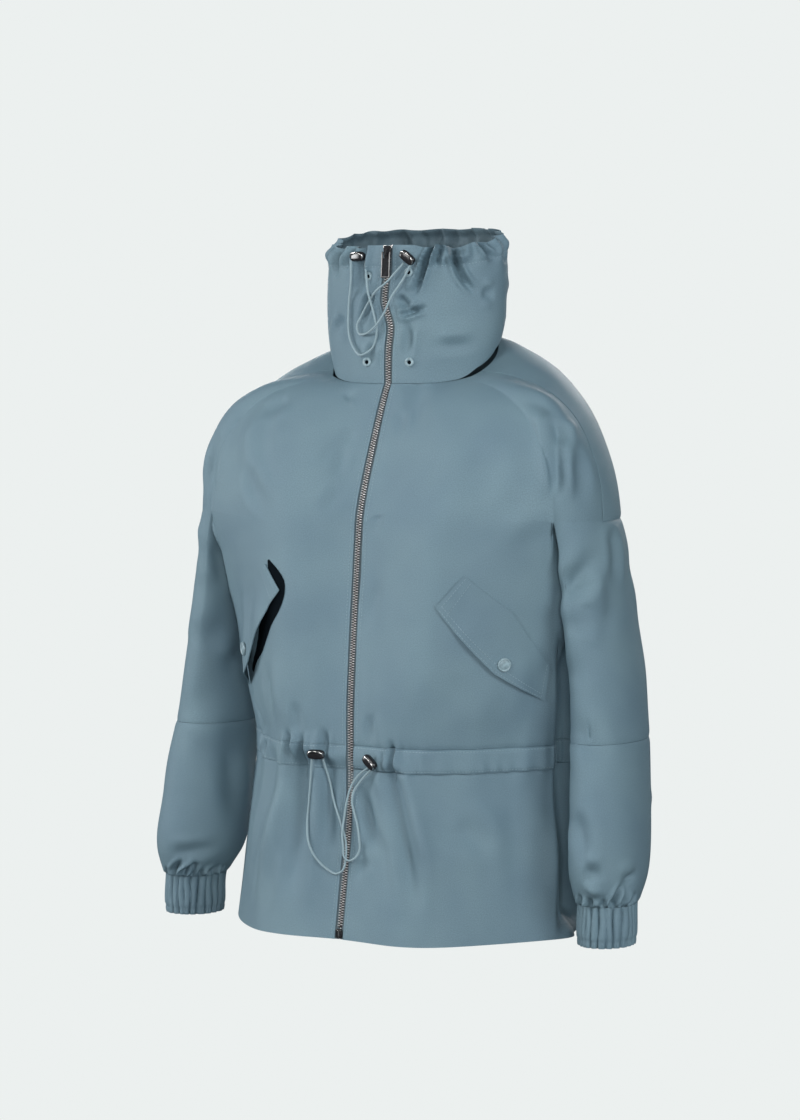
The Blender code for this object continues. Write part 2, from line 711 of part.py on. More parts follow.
def collar_grid(degrees, shares, low, high):
    """Collar cloth between two heights above the neck seam, given as functions of the place."""
    around, share = np.meshgrid(degrees, shares)
    tall = np.linalg.norm(collar(around, 1.0 + 0.0 * around) - collar(around, 0.0 * around), axis=-1)
    h = (low(around) + (high(around, tall) - low(around)) * share) / tall
    return collar_cloth(around, h)


def build_collar(cloth):
    around = spread(
        (COLLAR_EDGE_DEG, TAPE_OUTER_DEG, 1),
        (TAPE_OUTER_DEG, 360.0 - TAPE_OUTER_DEG, RIM_GATHERS * 3),
        (360.0 - TAPE_OUTER_DEG, 360.0 - COLLAR_EDGE_DEG, 1),
    )
    rows = spread((0, 1, COLLAR_ROWS))
    full = collar_grid(around, rows, lambda d: GAP + slot_lift(d), lambda d, tall: tall)
    wall("collar", [full], cloth)
    back = spread((SLOT_START_DEG + 8.0, 352.0 - SLOT_START_DEG - SLOT_LATER_RIGHT_DEG, 24))
    strip = collar_grid(
        back,
        spread((0, 1, 1)),
        lambda d: 0.004 + 0.0 * d,
        lambda d, tall: slot_lift(d) + WELT_BELOW_COLLAR,
    )
    wall("collar_slot_welt", [strip], cloth, outset=-(WALL + 3.0 * GAP))


def place_on(p, n):
    """A frame on the cloth: X sideways, -Y outwards, Z up along the cloth."""
    inward = Vector(-n)
    across = (Vector((1.0, 0.0, 0.0)) - inward * inward.x).normalized()
    up = across.cross(inward)
    turn = Matrix((across, inward, up)).transposed().to_4x4()
    return Matrix.Translation(Vector(p)) @ turn


def on_body(x, z):
    """The front's outer cloth at a sideways place and height: point and outward normal."""
    qs = np.linspace(0.0, 1.3, 131)
    q = np.interp(abs(x), lower_body(qs, np.full(qs.shape, z))[:, 0], qs)
    side = -1.0 if x < 0.0 else 1.0
    p, n = body_grid(np.array([q]), np.array([z]), False, side)
    return p[0, 0], n[0, 0]


def on_collar(x, z):
    """The collar's outer cloth at a sideways place and height: point and outward normal."""
    h = np.array([0.5])
    degrees = np.array([0.0])
    for _ in range(6):
        half_width = through(COLLAR["h"], COLLAR["half_width"], h)
        degrees = np.degrees(np.arcsin(np.clip(x / half_width, -0.99, 0.99)))
        foot = collar(degrees, 0.0 * h)[0, 2]
        top = collar(degrees, 0.0 * h + 1.0)[0, 2]
        h = np.array([(z - foot) / (top - foot)])
    p, n = collar_cloth(degrees, h)
    return p[0], n[0]


def on_front(x, z):
    return on_collar(x, z) if z > NECK_FRONT_Z else on_body(x, z)


def flap_place(along, across, side):
    """A flap's outline coordinates as sideways place and height; the right one sits nearer the zip."""
    row = straight(FLAP, "along", along)
    shift_x, shift_z = FLAP_RIGHT_SHIFT if side < 0.0 else (0.0, 0.0)
    x = row["sewn_x"] + (row["free_x"] - row["sewn_x"]) * across + shift_x
    z = row["sewn_z"] + (row["free_z"] - row["sewn_z"]) * across + shift_z
    return x, z


def build_flaps(cloth, metal):
    """Slanted pocket flaps, sewn at their outer edge and standing off at their free edge."""
    along, across = np.meshgrid(spread((0, 1, 10)), spread((0, 1, 4)))
    snap = np.array([SNAP_ALONG]), np.array([SNAP_ACROSS])
    for side, word, lift in ((-1.0, "right", FLAP_LIFT_OPEN), (1.0, "left", FLAP_LIFT)):
        xs, zs = flap_place(along, across, side)
        pairs = [on_body(side * x, z) for x, z in zip(xs.flat, zs.flat)]
        p = np.array([pair[0] for pair in pairs]).reshape(*xs.shape, 3)
        n = np.array([pair[1] for pair in pairs]).reshape(*xs.shape, 3)
        off = WALL + FLAP_SEAT + lift * smooth(across) * smooth(np.minimum(along, 1.0 - along) * 3.0)
        wall(f"pocket_flap_{word}", [(p + n * off[..., None], n)], cloth)
        x, z = flap_place(*snap, side)
        seat = WALL + FLAP_SEAT + 2.0 * GAP + lift * float(smooth(SNAP_ACROSS))
        at, outward = on_body(side * float(x[0]), float(z[0]))
        dome = [(0.0, 0.0), (SNAP_RADIUS, 0.0), (SNAP_RADIUS, 0.0009), (0.006, SNAP_HEIGHT)]
        dome += [(0.003, SNAP_HEIGHT - 0.0003), (0.0, SNAP_HEIGHT - 0.0003)]
        turned(f"snap_{word}", dome, 24, place_on(at + outward * seat, outward), metal)


def turned(name, profile, segments, matrix, look):
    """A turned piece: (radius, height outwards) rows spun round the frame's -Y."""
    bm = bmesh.new()
    verts = [bm.verts.new((radius, -height, 0.0)) for radius, height in profile]
    closed = profile[0][0] > 0.0
    pairs = list(zip(verts, verts[1:] + verts[:1])) if closed else list(zip(verts, verts[1:]))
    edges = [bm.edges.new(pair) for pair in pairs]
    bmesh.ops.spin(
        bm,
        geom=verts + edges,
        cent=(0.0, 0.0, 0.0),
        axis=(0.0, 1.0, 0.0),
        angle=2.0 * math.pi,
        steps=segments,
        use_duplicate=False,
    )
    bmesh.ops.remove_doubles(bm, verts=bm.verts, dist=0.000001)
    return finish(name, bm, look, matrix)


def build_eyelets(metal):
    rim = [(EYELET_HOLE, 0.0), (EYELET_RADIUS, 0.0), (EYELET_RADIUS - 0.0006, 0.0009)]
    rim += [(0.0035, EYELET_HEIGHT), (EYELET_HOLE + 0.0003, 0.0008)]
    for name, (x, z) in EYELETS.items():
        p, n = on_collar(x, z)
        turned(name, rim, 14, place_on(p + n * 2.0 * GAP, n), metal)


def box(bm, low, high):
    """A box between two corners."""
    made = bmesh.ops.create_cube(bm, size=1.0)["verts"]
    low = Vector(low)
    high = Vector(high)
    for vert in made:
        vert.co = Vector(tuple((low[i] + high[i]) / 2.0 + vert.co[i] * (high[i] - low[i]) for i in range(3)))
    return made


def build_locks(plastic):
    for name, (x, z, seat) in LOCKS.items():
        p, n = on_front(x, z)
        bm = bmesh.new()
        half = LOCK_WIDTH / 2.0
        box(bm, (-half, -LOCK_DEPTH, -LOCK_HEIGHT / 2.0), (half, 0.0, LOCK_HEIGHT / 2.0))
        bmesh.ops.bevel(
            bm,
            geom=list(bm.edges),
            offset=0.0024,
            segments=2,
            profile=0.5,
            affect="EDGES",
        )
        finish(name, bm, plastic, place_on(p + n * seat, n))


def build_cords(look):
    half = CORD_DIAMETER / 2.0
    loops = {
        "cord_collar_right": COLLAR_CORD_RIGHT,
        "cord_collar_left": COLLAR_CORD_LEFT,
        "cord_waist_right": WAIST_CORD_RIGHT,
        "cord_waist_left": WAIST_CORD_LEFT,
    }
    for name, rows in loops.items():
        pairs = [on_front(x, z) for x, z in zip(rows["x"], rows["z"])]
        stops = np.array([p + n * (lift + half) for (p, n), lift in zip(pairs, rows["lift"])])
        lengths = np.concatenate([[0.0], np.cumsum(np.linalg.norm(np.diff(stops, axis=0), axis=1))])
        count = int(round(lengths[-1] / CORD_STEP)) + 1
        at = np.linspace(0.0, lengths[-1], count)
        curve = bpy.data.curves.new(name, "CURVE")
        curve.dimensions = "3D"
        curve.bevel_depth = half
        curve.bevel_resolution = 2
        curve.use_fill_caps = True
        line = curve.splines.new("POLY")
        line.points.add(count - 1)
        for axis in range(3):
            smooth_line = through(lengths, stops[:, axis], at)
            for point, value in zip(line.points, smooth_line):
                point.co[axis] = value
        made = bpy.data.objects.new(name, curve)
        made.data.materials.append(material(name, *look))
        bpy.context.scene.collection.objects.link(made)


def centre_line():
    """The zip's way up the front: stations on the outer cloth with their outward normals."""
    none = np.zeros(1)
    stations = []
    for z in spread((HEM_Z + 0.012, ARMHOLE_Z - 0.02, 16)):
        q = none
        stations.append((lower_body(q, none + z)[0], normals(lower_body, q, none + z)[0]))
    for r in spread((0.0, 0.90, 6)):
        stations.append((upper_body(none, none + r)[0], normals(upper_body, none, none + r)[0]))
    for h in spread((0.06, 1.0 - 0.01, 14)):
        stations.append((collar(none, none + h)[0], normals(collar, none, none + h, du=0.05)[0]))
    return stations


def swept(name, stations, section, look):
    """A strip that keeps its (sideways, outward) section along the zip's way."""
    bm = bmesh.new()
    loops = []
    for p, n in stations:
        across = np.array([1.0, 0.0, 0.0])
        loops.append([bm.verts.new(p + across * x + n * out) for x, out in section])
    for low, high in zip(loops, loops[1:]):
        for k in range(len(section)):
            m = (k + 1) % len(section)
            bm.faces.new((low[k], low[m], high[m], high[k]))
    bm.faces.new(loops[0])
    bm.faces.new(loops[-1])
    return finish(name, bm, look)


def tape_grids(side):
    """Zip tape behind the front edges: the fronts' own points near the centre line."""
    qs = np.array([TAPE_INNER_X / 0.2, TAPE_OUTER_Q])
    rows = spread((0.004, 1.0 / COLLAR_ROWS, 1), (1.0 / COLLAR_ROWS, 1.0, COLLAR_ROWS - 1))
    degrees, h = np.meshgrid(np.array([TAPE_INNER_DEG, TAPE_OUTER_DEG]), rows)
    grids = [
        body_grid(qs, np.concatenate([skirt_rows(), body_rows()]), False, side),
        body_grid(qs, ray_rows()[1:], True, side),
        collar_cloth(side * degrees, h),
    ]
    return [tuple(np.concatenate(both) for both in zip(*grids))]


def build_zip(tape, teeth, metal, dark):
    stations = centre_line()
    half = CHAIN_HALF_WIDTH
    section = [(-half, -CHAIN_IN), (half, -CHAIN_IN), (half, CHAIN_OUT), (-half, CHAIN_OUT)]
    swept("zip_chain", stations, section, teeth)
    for side, word in ((-1.0, "right"), (1.0, "left")):
        depth = WALL + 2.0 * GAP
        wall(f"zip_tape_{word}", tape_grids(side), tape, thickness=TAPE_THICKNESS, outset=-depth)

    p, n = on_collar(0.0, SLIDER_Z)
    seat = place_on(p + n * (CHAIN_OUT + GAP), n)
    plate = 0.0018
    bm = bmesh.new()
    body = box(bm, (-0.0044, -plate, -0.0070), (0.0044, 0.0, 0.0070))
    for vert in body:
        if vert.co.z < 0.0:
            vert.co.x *= 0.72
    slider = finish("zip_slider", bm, metal, seat)
    bail = bmesh.new()
    box(bail, (-0.0012, -plate - 0.0046, -0.0036), (0.0012, -plate + 0.0004, 0.0036))
    add_part(slider, bail, seat, "UNION")
    eye = bmesh.new()
    box(eye, (-0.0030, -plate - 0.0034, -0.0024), (0.0030, -plate - 0.0002, 0.0024))
    add_part(slider, eye, seat, "DIFFERENCE")

    axis = seat @ Matrix.Translation((0.0, -plate - 0.0018, 0.0))
    arm = 0.0016
    half_width = PULL_WIDTH / 2.0
    half_thick = PULL_THICKNESS / 2.0
    bm = bmesh.new()
    box(bm, (-half_width, -half_thick, -PULL_LENGTH), (half_width, half_thick, half_thick))
    pull = finish("zip_pull", bm, dark, axis)
    window = bmesh.new()
    box(window, (-half_width + arm, -0.004, -0.0062), (half_width - arm, 0.004, -half_thick))
    add_part(pull, window, axis, "DIFFERENCE")
    soften(pull, 0.0004)

    low, outward = lower_body(np.zeros(1), np.array([HEM_Z + 0.006]))[0], np.array([0.0, -1.0, 0.0])
    bm = bmesh.new()
    box(bm, (-0.0038, -0.0012, -0.0050), (0.0038, 0.0013, 0.0050))
    stop = finish("zip_bottom_box", bm, dark, place_on(low, outward))
    soften(stop, 0.0006)


def add_part(target, bm, matrix, operation):
    """Adds or cuts a shape, kept as a hidden guide."""
    guide = finish(f"guide_{target.name}_{operation.lower()}", bm, (STEEL, 0.5, 0.0), matrix)
    guide.hide_render = True
    guide.display_type = "WIRE"
    cut = target.modifiers.new(operation.title(), "BOOLEAN")
    cut.operation = operation
    cut.solver = "EXACT"
    cut.object = guide


def soften(target, width):
    edge = target.modifiers.new("Bevel", "BEVEL")
    edge.width = width
    edge.segments = 1
    edge.limit_method = "ANGLE"


def main():
    for old in list(bpy.data.objects):
        bpy.data.objects.remove(old, do_unlink=True)
    cloth = (CLOTH, 0.85, 0.0)
    build_body(cloth)
    build_skirt_and_casing(cloth)
    build_sleeves(cloth)
    build_collar(cloth)
    build_flaps(cloth, (PEWTER, 0.40, 1.0))
    build_zip((TAPE_CLOTH, 0.90, 0.0), (STEEL, 0.35, 1.0), (PEWTER, 0.40, 1.0), (DARK_STEEL, 0.45, 1.0))
    build_eyelets((PEWTER, 0.38, 1.0))
    build_locks((PEWTER, 0.50, 0.0))
    build_cords((CORD_CLOTH, 0.80, 0.0))


main()
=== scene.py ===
"""Looks of the funnel-neck parka: fine cloth shells, drawcords, zip, hardware, stitching, light.

Metres, +Z up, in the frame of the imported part: the front faces -Y and the wearer's left is at +X.
"""

import math

import bmesh
import bpy
import numpy as np
from mathutils import Matrix, Vector


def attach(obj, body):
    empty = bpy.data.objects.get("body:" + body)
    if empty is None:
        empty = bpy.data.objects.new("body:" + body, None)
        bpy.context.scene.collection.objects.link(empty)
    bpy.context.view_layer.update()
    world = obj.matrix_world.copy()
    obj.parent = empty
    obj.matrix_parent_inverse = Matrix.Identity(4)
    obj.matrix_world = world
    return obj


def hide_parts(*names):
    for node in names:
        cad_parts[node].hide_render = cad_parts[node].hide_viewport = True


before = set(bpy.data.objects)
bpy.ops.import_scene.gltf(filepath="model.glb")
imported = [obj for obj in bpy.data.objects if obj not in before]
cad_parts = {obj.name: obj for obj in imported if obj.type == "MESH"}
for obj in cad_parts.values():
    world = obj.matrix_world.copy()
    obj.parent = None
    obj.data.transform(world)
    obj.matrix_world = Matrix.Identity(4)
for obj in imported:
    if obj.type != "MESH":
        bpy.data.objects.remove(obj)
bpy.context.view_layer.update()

# View of the photo, in its own pixels
PHOTO_HEIGHT = 1120
FOCAL_PIXELS = 3162.0
SENSOR = 36.0
CAMERA_AZIMUTH = 30.0
CAMERA_ELEVATION = 4.0
CAMERA_DISTANCE = 3.4
CAMERA_REACH = 200.0
LOOK_AT = Vector((-0.008, 0.0, -0.228))

# Stage and light
BACKGROUND = (0.838, 0.871, 0.863)
FLOOR_Z = -1.45
STUDIO_RADIUS = 40.0
ROOM_LIGHT = 0.10
LAMPS = {
    "key": ((-0.6, -3.3, 1.5), 1.2, 60.0, (1.0, 0.985, 0.965)),
    "side": ((3.3, -1.5, 0.9), 1.5, 80.0, (0.97, 0.99, 1.0)),
    "far_side": ((-3.2, -1.6, 0.6), 1.5, 110.0, (0.97, 0.99, 1.0)),
    "back": ((-0.7, 3.6, 1.2), 1.5, 100.0, (1.0, 0.99, 0.98)),
    "back_far": ((-2.4, 3.0, 0.6), 1.5, 84.0, (0.97, 0.99, 1.0)),
    "fill": ((1.75, -2.9, 0.0), 0.9, 60.0, (0.97, 0.99, 1.0)),
}

# The wearer's right lies at -X and the wearer's left at +X.
SIDES = ((-1.0, "right"), (1.0, "left"))

# Levels and sizes of the cloth: the part's own, but for finer walls, seams and gathers
CLOTH_THICKNESS = 0.0012
CUFF_THICKNESS = 0.0016
GAP = 0.0003
WALL = 0.0016
ARMHOLE_Z = -0.178
ELBOW_Z = -0.405
CASING_TOP_Z = -0.415
CASING_BOTTOM_Z = -0.440
CUFF_TOP_Z = -0.572
CUFF_BOTTOM_Z = -0.614
CUFF_GATHER_TOP_Z = -0.540
HEM_Z = -0.616
NECK_HALF_WIDTH = 0.095
NECK_HALF_DEPTH = 0.060
NECK_Y = 0.020
NECK_FRONT_Z = -0.038
NECK_BACK_Z = 0.015
RIM_FRONT_Z = 0.108
RIM_BACK_Z = 0.129
RIM_GATHERS = 15
RIM_GATHER_DEPTH = 0.0026
RIM_STITCH_H = 0.845
RIM_ROLL = 0.0060
RIM_ROLL_H = 0.88
RIM_DIP = 0.0038
RIM_DIP_H = 0.86
RIM_GATHER_H = 0.70
RIM_GATHER_EASE = 0.25
RIM_CASING_PUFF = 0.0006
ZIP_CLEAR_DEG = 14.0
ZIP_CLEAR_EASE_DEG = 12.0
SLOT_START_DEG = 50.0
SLOT_FULL_DEG = 84.0
SLOT_LATER_RIGHT_DEG = 70.0
SLOT_HEIGHT = 0.012
WELT_BELOW_COLLAR = 0.007
FRONT_EDGE_Q = 0.026
SHOULDER_SEAM_Q = 1.42
SIDE_SEAM_Q = 1.5
CENTRE_BACK_Q = 3.0
SEAM_Q = 0.0004
SHOULDER_GAP_Q = 0.0020
NECK_END_R = 0.996
COLLAR_EDGE_DEG = 2.9
CUFF_GATHERS = 24
CUFF_GATHER_DEPTH = 0.0064
CASING_PUFF = 0.0013
CASING_OVERHANG = 0.0026
FLAT_CASING_SHARE = 0.25
RIGHT_SLEEVE_DROP = 0.011
RIGHT_HEM_DROP = 0.008
CHEST_SHARE = 0.50
BLADE_SHARE = 0.56
ARMHOLE_BLEND = 0.050
ZIP_WAVE_WIDTH = 0.060
UPPER_SPAN = 0.200
LEVEL_EASE = 0.045
SIDE_TUCK = 0.0160
SIDE_TUCK_Z = -0.285

# Cell sizes of the fine shells, and from what angle an edge stays sharp
CELL = 0.0030
COLLAR_CELL = 0.0018
SHARP_CLOTH_DEG = 62.0
SHARP_HARD_DEG = 40.0

# Zip and hardware
TOOTH_PITCH = 0.0027
TAPE_INNER_X = 0.0006
TAPE_INNER_DEG = 0.34
TAPE_OUTER_Q = 0.075
TAPE_OUTER_DEG = 9.5
TAPE_THICKNESS = 0.0010
TEETH_END_ROOM = 0.002
# Near-black strip just under the zip's teeth, painted shade that makes the gaps between them dark: half
# width, thickness and sink.
TEETH_SHADOW_HALF_WIDTH = 0.0022
TEETH_SHADOW_THICKNESS = 0.0004
TEETH_SHADOW_SINK = 0.0008
PULL_LENGTH = 0.0270
PULL_WIDTH = 0.0105
PULL_THICKNESS = 0.0018
PULL_PLATE_TOP = -0.0062
PULL_ARM_FOOT = -0.0064
PULL_ARM_TOP = 0.0006
PULL_ARM_HALF = 0.0008
PULL_PIN_HALF = 0.0007
PULL_EDGE_IN = 0.0006
PULL_EDGE_HALF = 0.0005
PULL_EDGE_RISE = 0.0004
PULL_EDGE_TOP = 0.0002
EYELET_RADIUS = 0.0050
EYELET_HOLE = 0.0021
# A near-black disc in each eyelet's opening, painted shadow: how far it laps under the ring and how thick
# it is.
EYELET_HOLE_LAP = 0.0002
EYELET_HOLE_DEPTH = 0.00015
EYELET_FLATNESS = 0.75
EYELET_SEAT = 0.0003
SNAP_RADIUS = 0.0074
LOCK_WIDTH = 0.0186
LOCK_HEIGHT = 0.0104
LOCK_DEPTH = 0.0080
LOCK_RIM_BAR = 0.0008
LOCK_RIM_IN = 0.0006
LOCK_MOUTH_AT = (0.0, -0.0022, -0.0006)
LOCK_MOUTH_TILT_DEG = 38.0
CORD_DIAMETER = 0.0023
HINGE = np.array([-0.00029, -0.04235, 0.10034])
SLIDER_H = 0.945
SLIDER_THICKNESS = 0.0018
BAIL_REACH = 0.0036
BAIL_HALF_LENGTH = 0.0036
BAIL_FOOT = 0.0016
BAIL_RISE = 0.0046
BAIL_HALF_WIDTH = 0.0012
BAIL_HALF_BAR = 0.0006
BAIL_LAP = 0.0002
BAIL_STEPS = 12
TOP_STOP_X = 0.0042
TOP_STOP_HALF = 0.0013
TOP_STOP_DEPTH = (-0.0016, 0.0022)
TOP_STOP_HEIGHT = (0.0046, 0.0078)
BOTTOM_BOX_UP = 0.006
BOTTOM_BOX_HALF = (0.0038, 0.0015, 0.0050)
BOTTOM_RIDGES = (
    ((-0.0036, -0.0019, 0.0030), (0.0036, -0.0010, 0.0042)),
    ((-0.0005, -0.0019, -0.0044), (0.0005, -0.0010, 0.0030)),
)

# Stitching
STITCH_PITCH = 0.0036
STITCH_LENGTH = 0.0026
STITCH_RADIUS = 0.00032
ZIP_STITCH_Q = 0.046
ZIP_STITCH_DEG = 5.2
CASING_STITCH_IN = 0.0022
FLAP_STITCH_ENDS = (0.03, 0.97)
FLAP_STITCH_ACROSS = (0.86, 0.96)
FLAP_STITCH_ALONG = (0.03, 0.09, 0.97)

# Linear colours
CLOTH_COLOUR = (0.110, 0.177, 0.217)
# Cloth darkened for the inner faces of the shells: painted shade, the shade that falls inside the garment.
INSIDE_PAINTED_SHADE = 0.62
# Near-black for the shade under the right flap's free edge and in the eyelets' openings: painted shadow.
PAINTED_SHADOW_COLOUR = (0.004, 0.006, 0.008)
TAPE_COLOUR = (0.110, 0.150, 0.172)
CORD_COLOUR = (0.190, 0.270, 0.305)
THREAD_COLOUR = (0.155, 0.232, 0.272)
STEEL_COLOUR = (0.500, 0.495, 0.495)
# Near-black of the strip under the zip's teeth: painted shade in the gaps between them.
TEETH_SHADOW_COLOUR = (0.016, 0.013, 0.012)
BRIGHT_COLOUR = (0.620, 0.610, 0.600)
PEWTER_COLOUR = (0.240, 0.235, 0.235)
LACQUER_COLOUR = (0.190, 0.270, 0.305)
BLACK_COLOUR = (0.012, 0.012, 0.014)


def table(names, *rows):
    """A short table: each named column as an array, with a row for each section."""
    return dict(zip(names.split(), np.array(rows, float).T))


# Body levels, sleeve levels, rays to the neck seam, collar levels and the zip's sideways wave,
# the same as in the part.
BODY = table(
    "z      cf_y    chest_y edge_x edge_y  side_x corner_x corner_y blade_y cb_y",
    (-0.616, -0.142, -0.139, 0.198, -0.028, 0.194, 0.172, 0.064, 0.112, 0.118),
    (-0.520, -0.127, -0.127, 0.192, -0.017, 0.188, 0.172, 0.062, 0.100, 0.104),
    (-0.440, -0.117, -0.113, 0.185, -0.010, 0.181, 0.170, 0.057, 0.090, 0.092),
    (-0.415, -0.116, -0.113, 0.186, -0.010, 0.182, 0.170, 0.057, 0.090, 0.092),
    (-0.370, -0.114, -0.117, 0.192, -0.017, 0.186, 0.172, 0.057, 0.094, 0.096),
    (-0.300, -0.106, -0.116, 0.197, -0.032, 0.187, 0.174, 0.056, 0.098, 0.100),
    (-0.250, -0.101, -0.113, 0.201, -0.044, 0.190, 0.181, 0.056, 0.101, 0.101),
    (-0.200, -0.097, -0.108, 0.203, -0.060, 0.196, 0.198, 0.063, 0.106, 0.104),
    (-0.178, -0.095, -0.105, 0.209, -0.062, 0.202, 0.209, 0.066, 0.107, 0.105),
)
SLEEVE = table(
    "z      x       y       r_out  r_in   r_in_right r_depth",
    (-0.614, 0.2560, -0.030, 0.0310, 0.0310, 0.0350, 0.0370),
    (-0.572, 0.2560, -0.028, 0.0315, 0.0315, 0.0370, 0.0390),
    (-0.545, 0.2560, -0.024, 0.0365, 0.0365, 0.0520, 0.0530),
    (-0.475, 0.2515, -0.014, 0.0370, 0.0360, 0.0510, 0.0600),
    (-0.410, 0.2435, -0.001, 0.0370, 0.0320, 0.0450, 0.0620),
    (-0.340, 0.2335, 0.006, 0.0360, 0.0260, 0.0300, 0.0640),
    (-0.250, 0.2200, 0.006, 0.0350, 0.0160, 0.0160, 0.0650),
    (-0.200, 0.2140, 0.003, 0.0345, 0.0090, 0.0090, 0.0643),
    (-0.178, 0.2090, 0.002, 0.0340, 0.0060, 0.0060, 0.0640),
)
RAYS = table(
    "q    neck_deg power",
    (0.00, 0.0, 1.12),
    (0.12, 13.0, 1.14),
    (0.50, 32.0, 1.45),
    (1.00, 50.0, 2.25),
    (1.22, 59.0, 2.70),
    (1.42, 69.0, 2.28),
    (1.58, 96.0, 1.96),
    (2.00, 122.0, 1.90),
    (2.50, 150.0, 1.60),
    (3.00, 180.0, 1.45),
)
COLLAR = table(
    "h    half_width half_depth y",
    (0.00, 0.0950, 0.0600, 0.0200),
    (0.20, 0.1020, 0.0620, 0.0205),
    (0.50, 0.1060, 0.0625, 0.0215),
    (0.80, 0.1050, 0.0615, 0.0225),
    (1.00, 0.1030, 0.0600, 0.0230),
)
ZIP_WAVE = table(
    "z      x",
    (-0.620, 0.0000),
    (-0.470, 0.0010),
    (-0.420, -0.0010),
    (-0.060, 0.0000),
    (0.000, 0.0020),
    (0.022, 0.0040),
    (0.048, -0.0035),
    (0.080, -0.0010),
    (0.110, 0.0000),
)
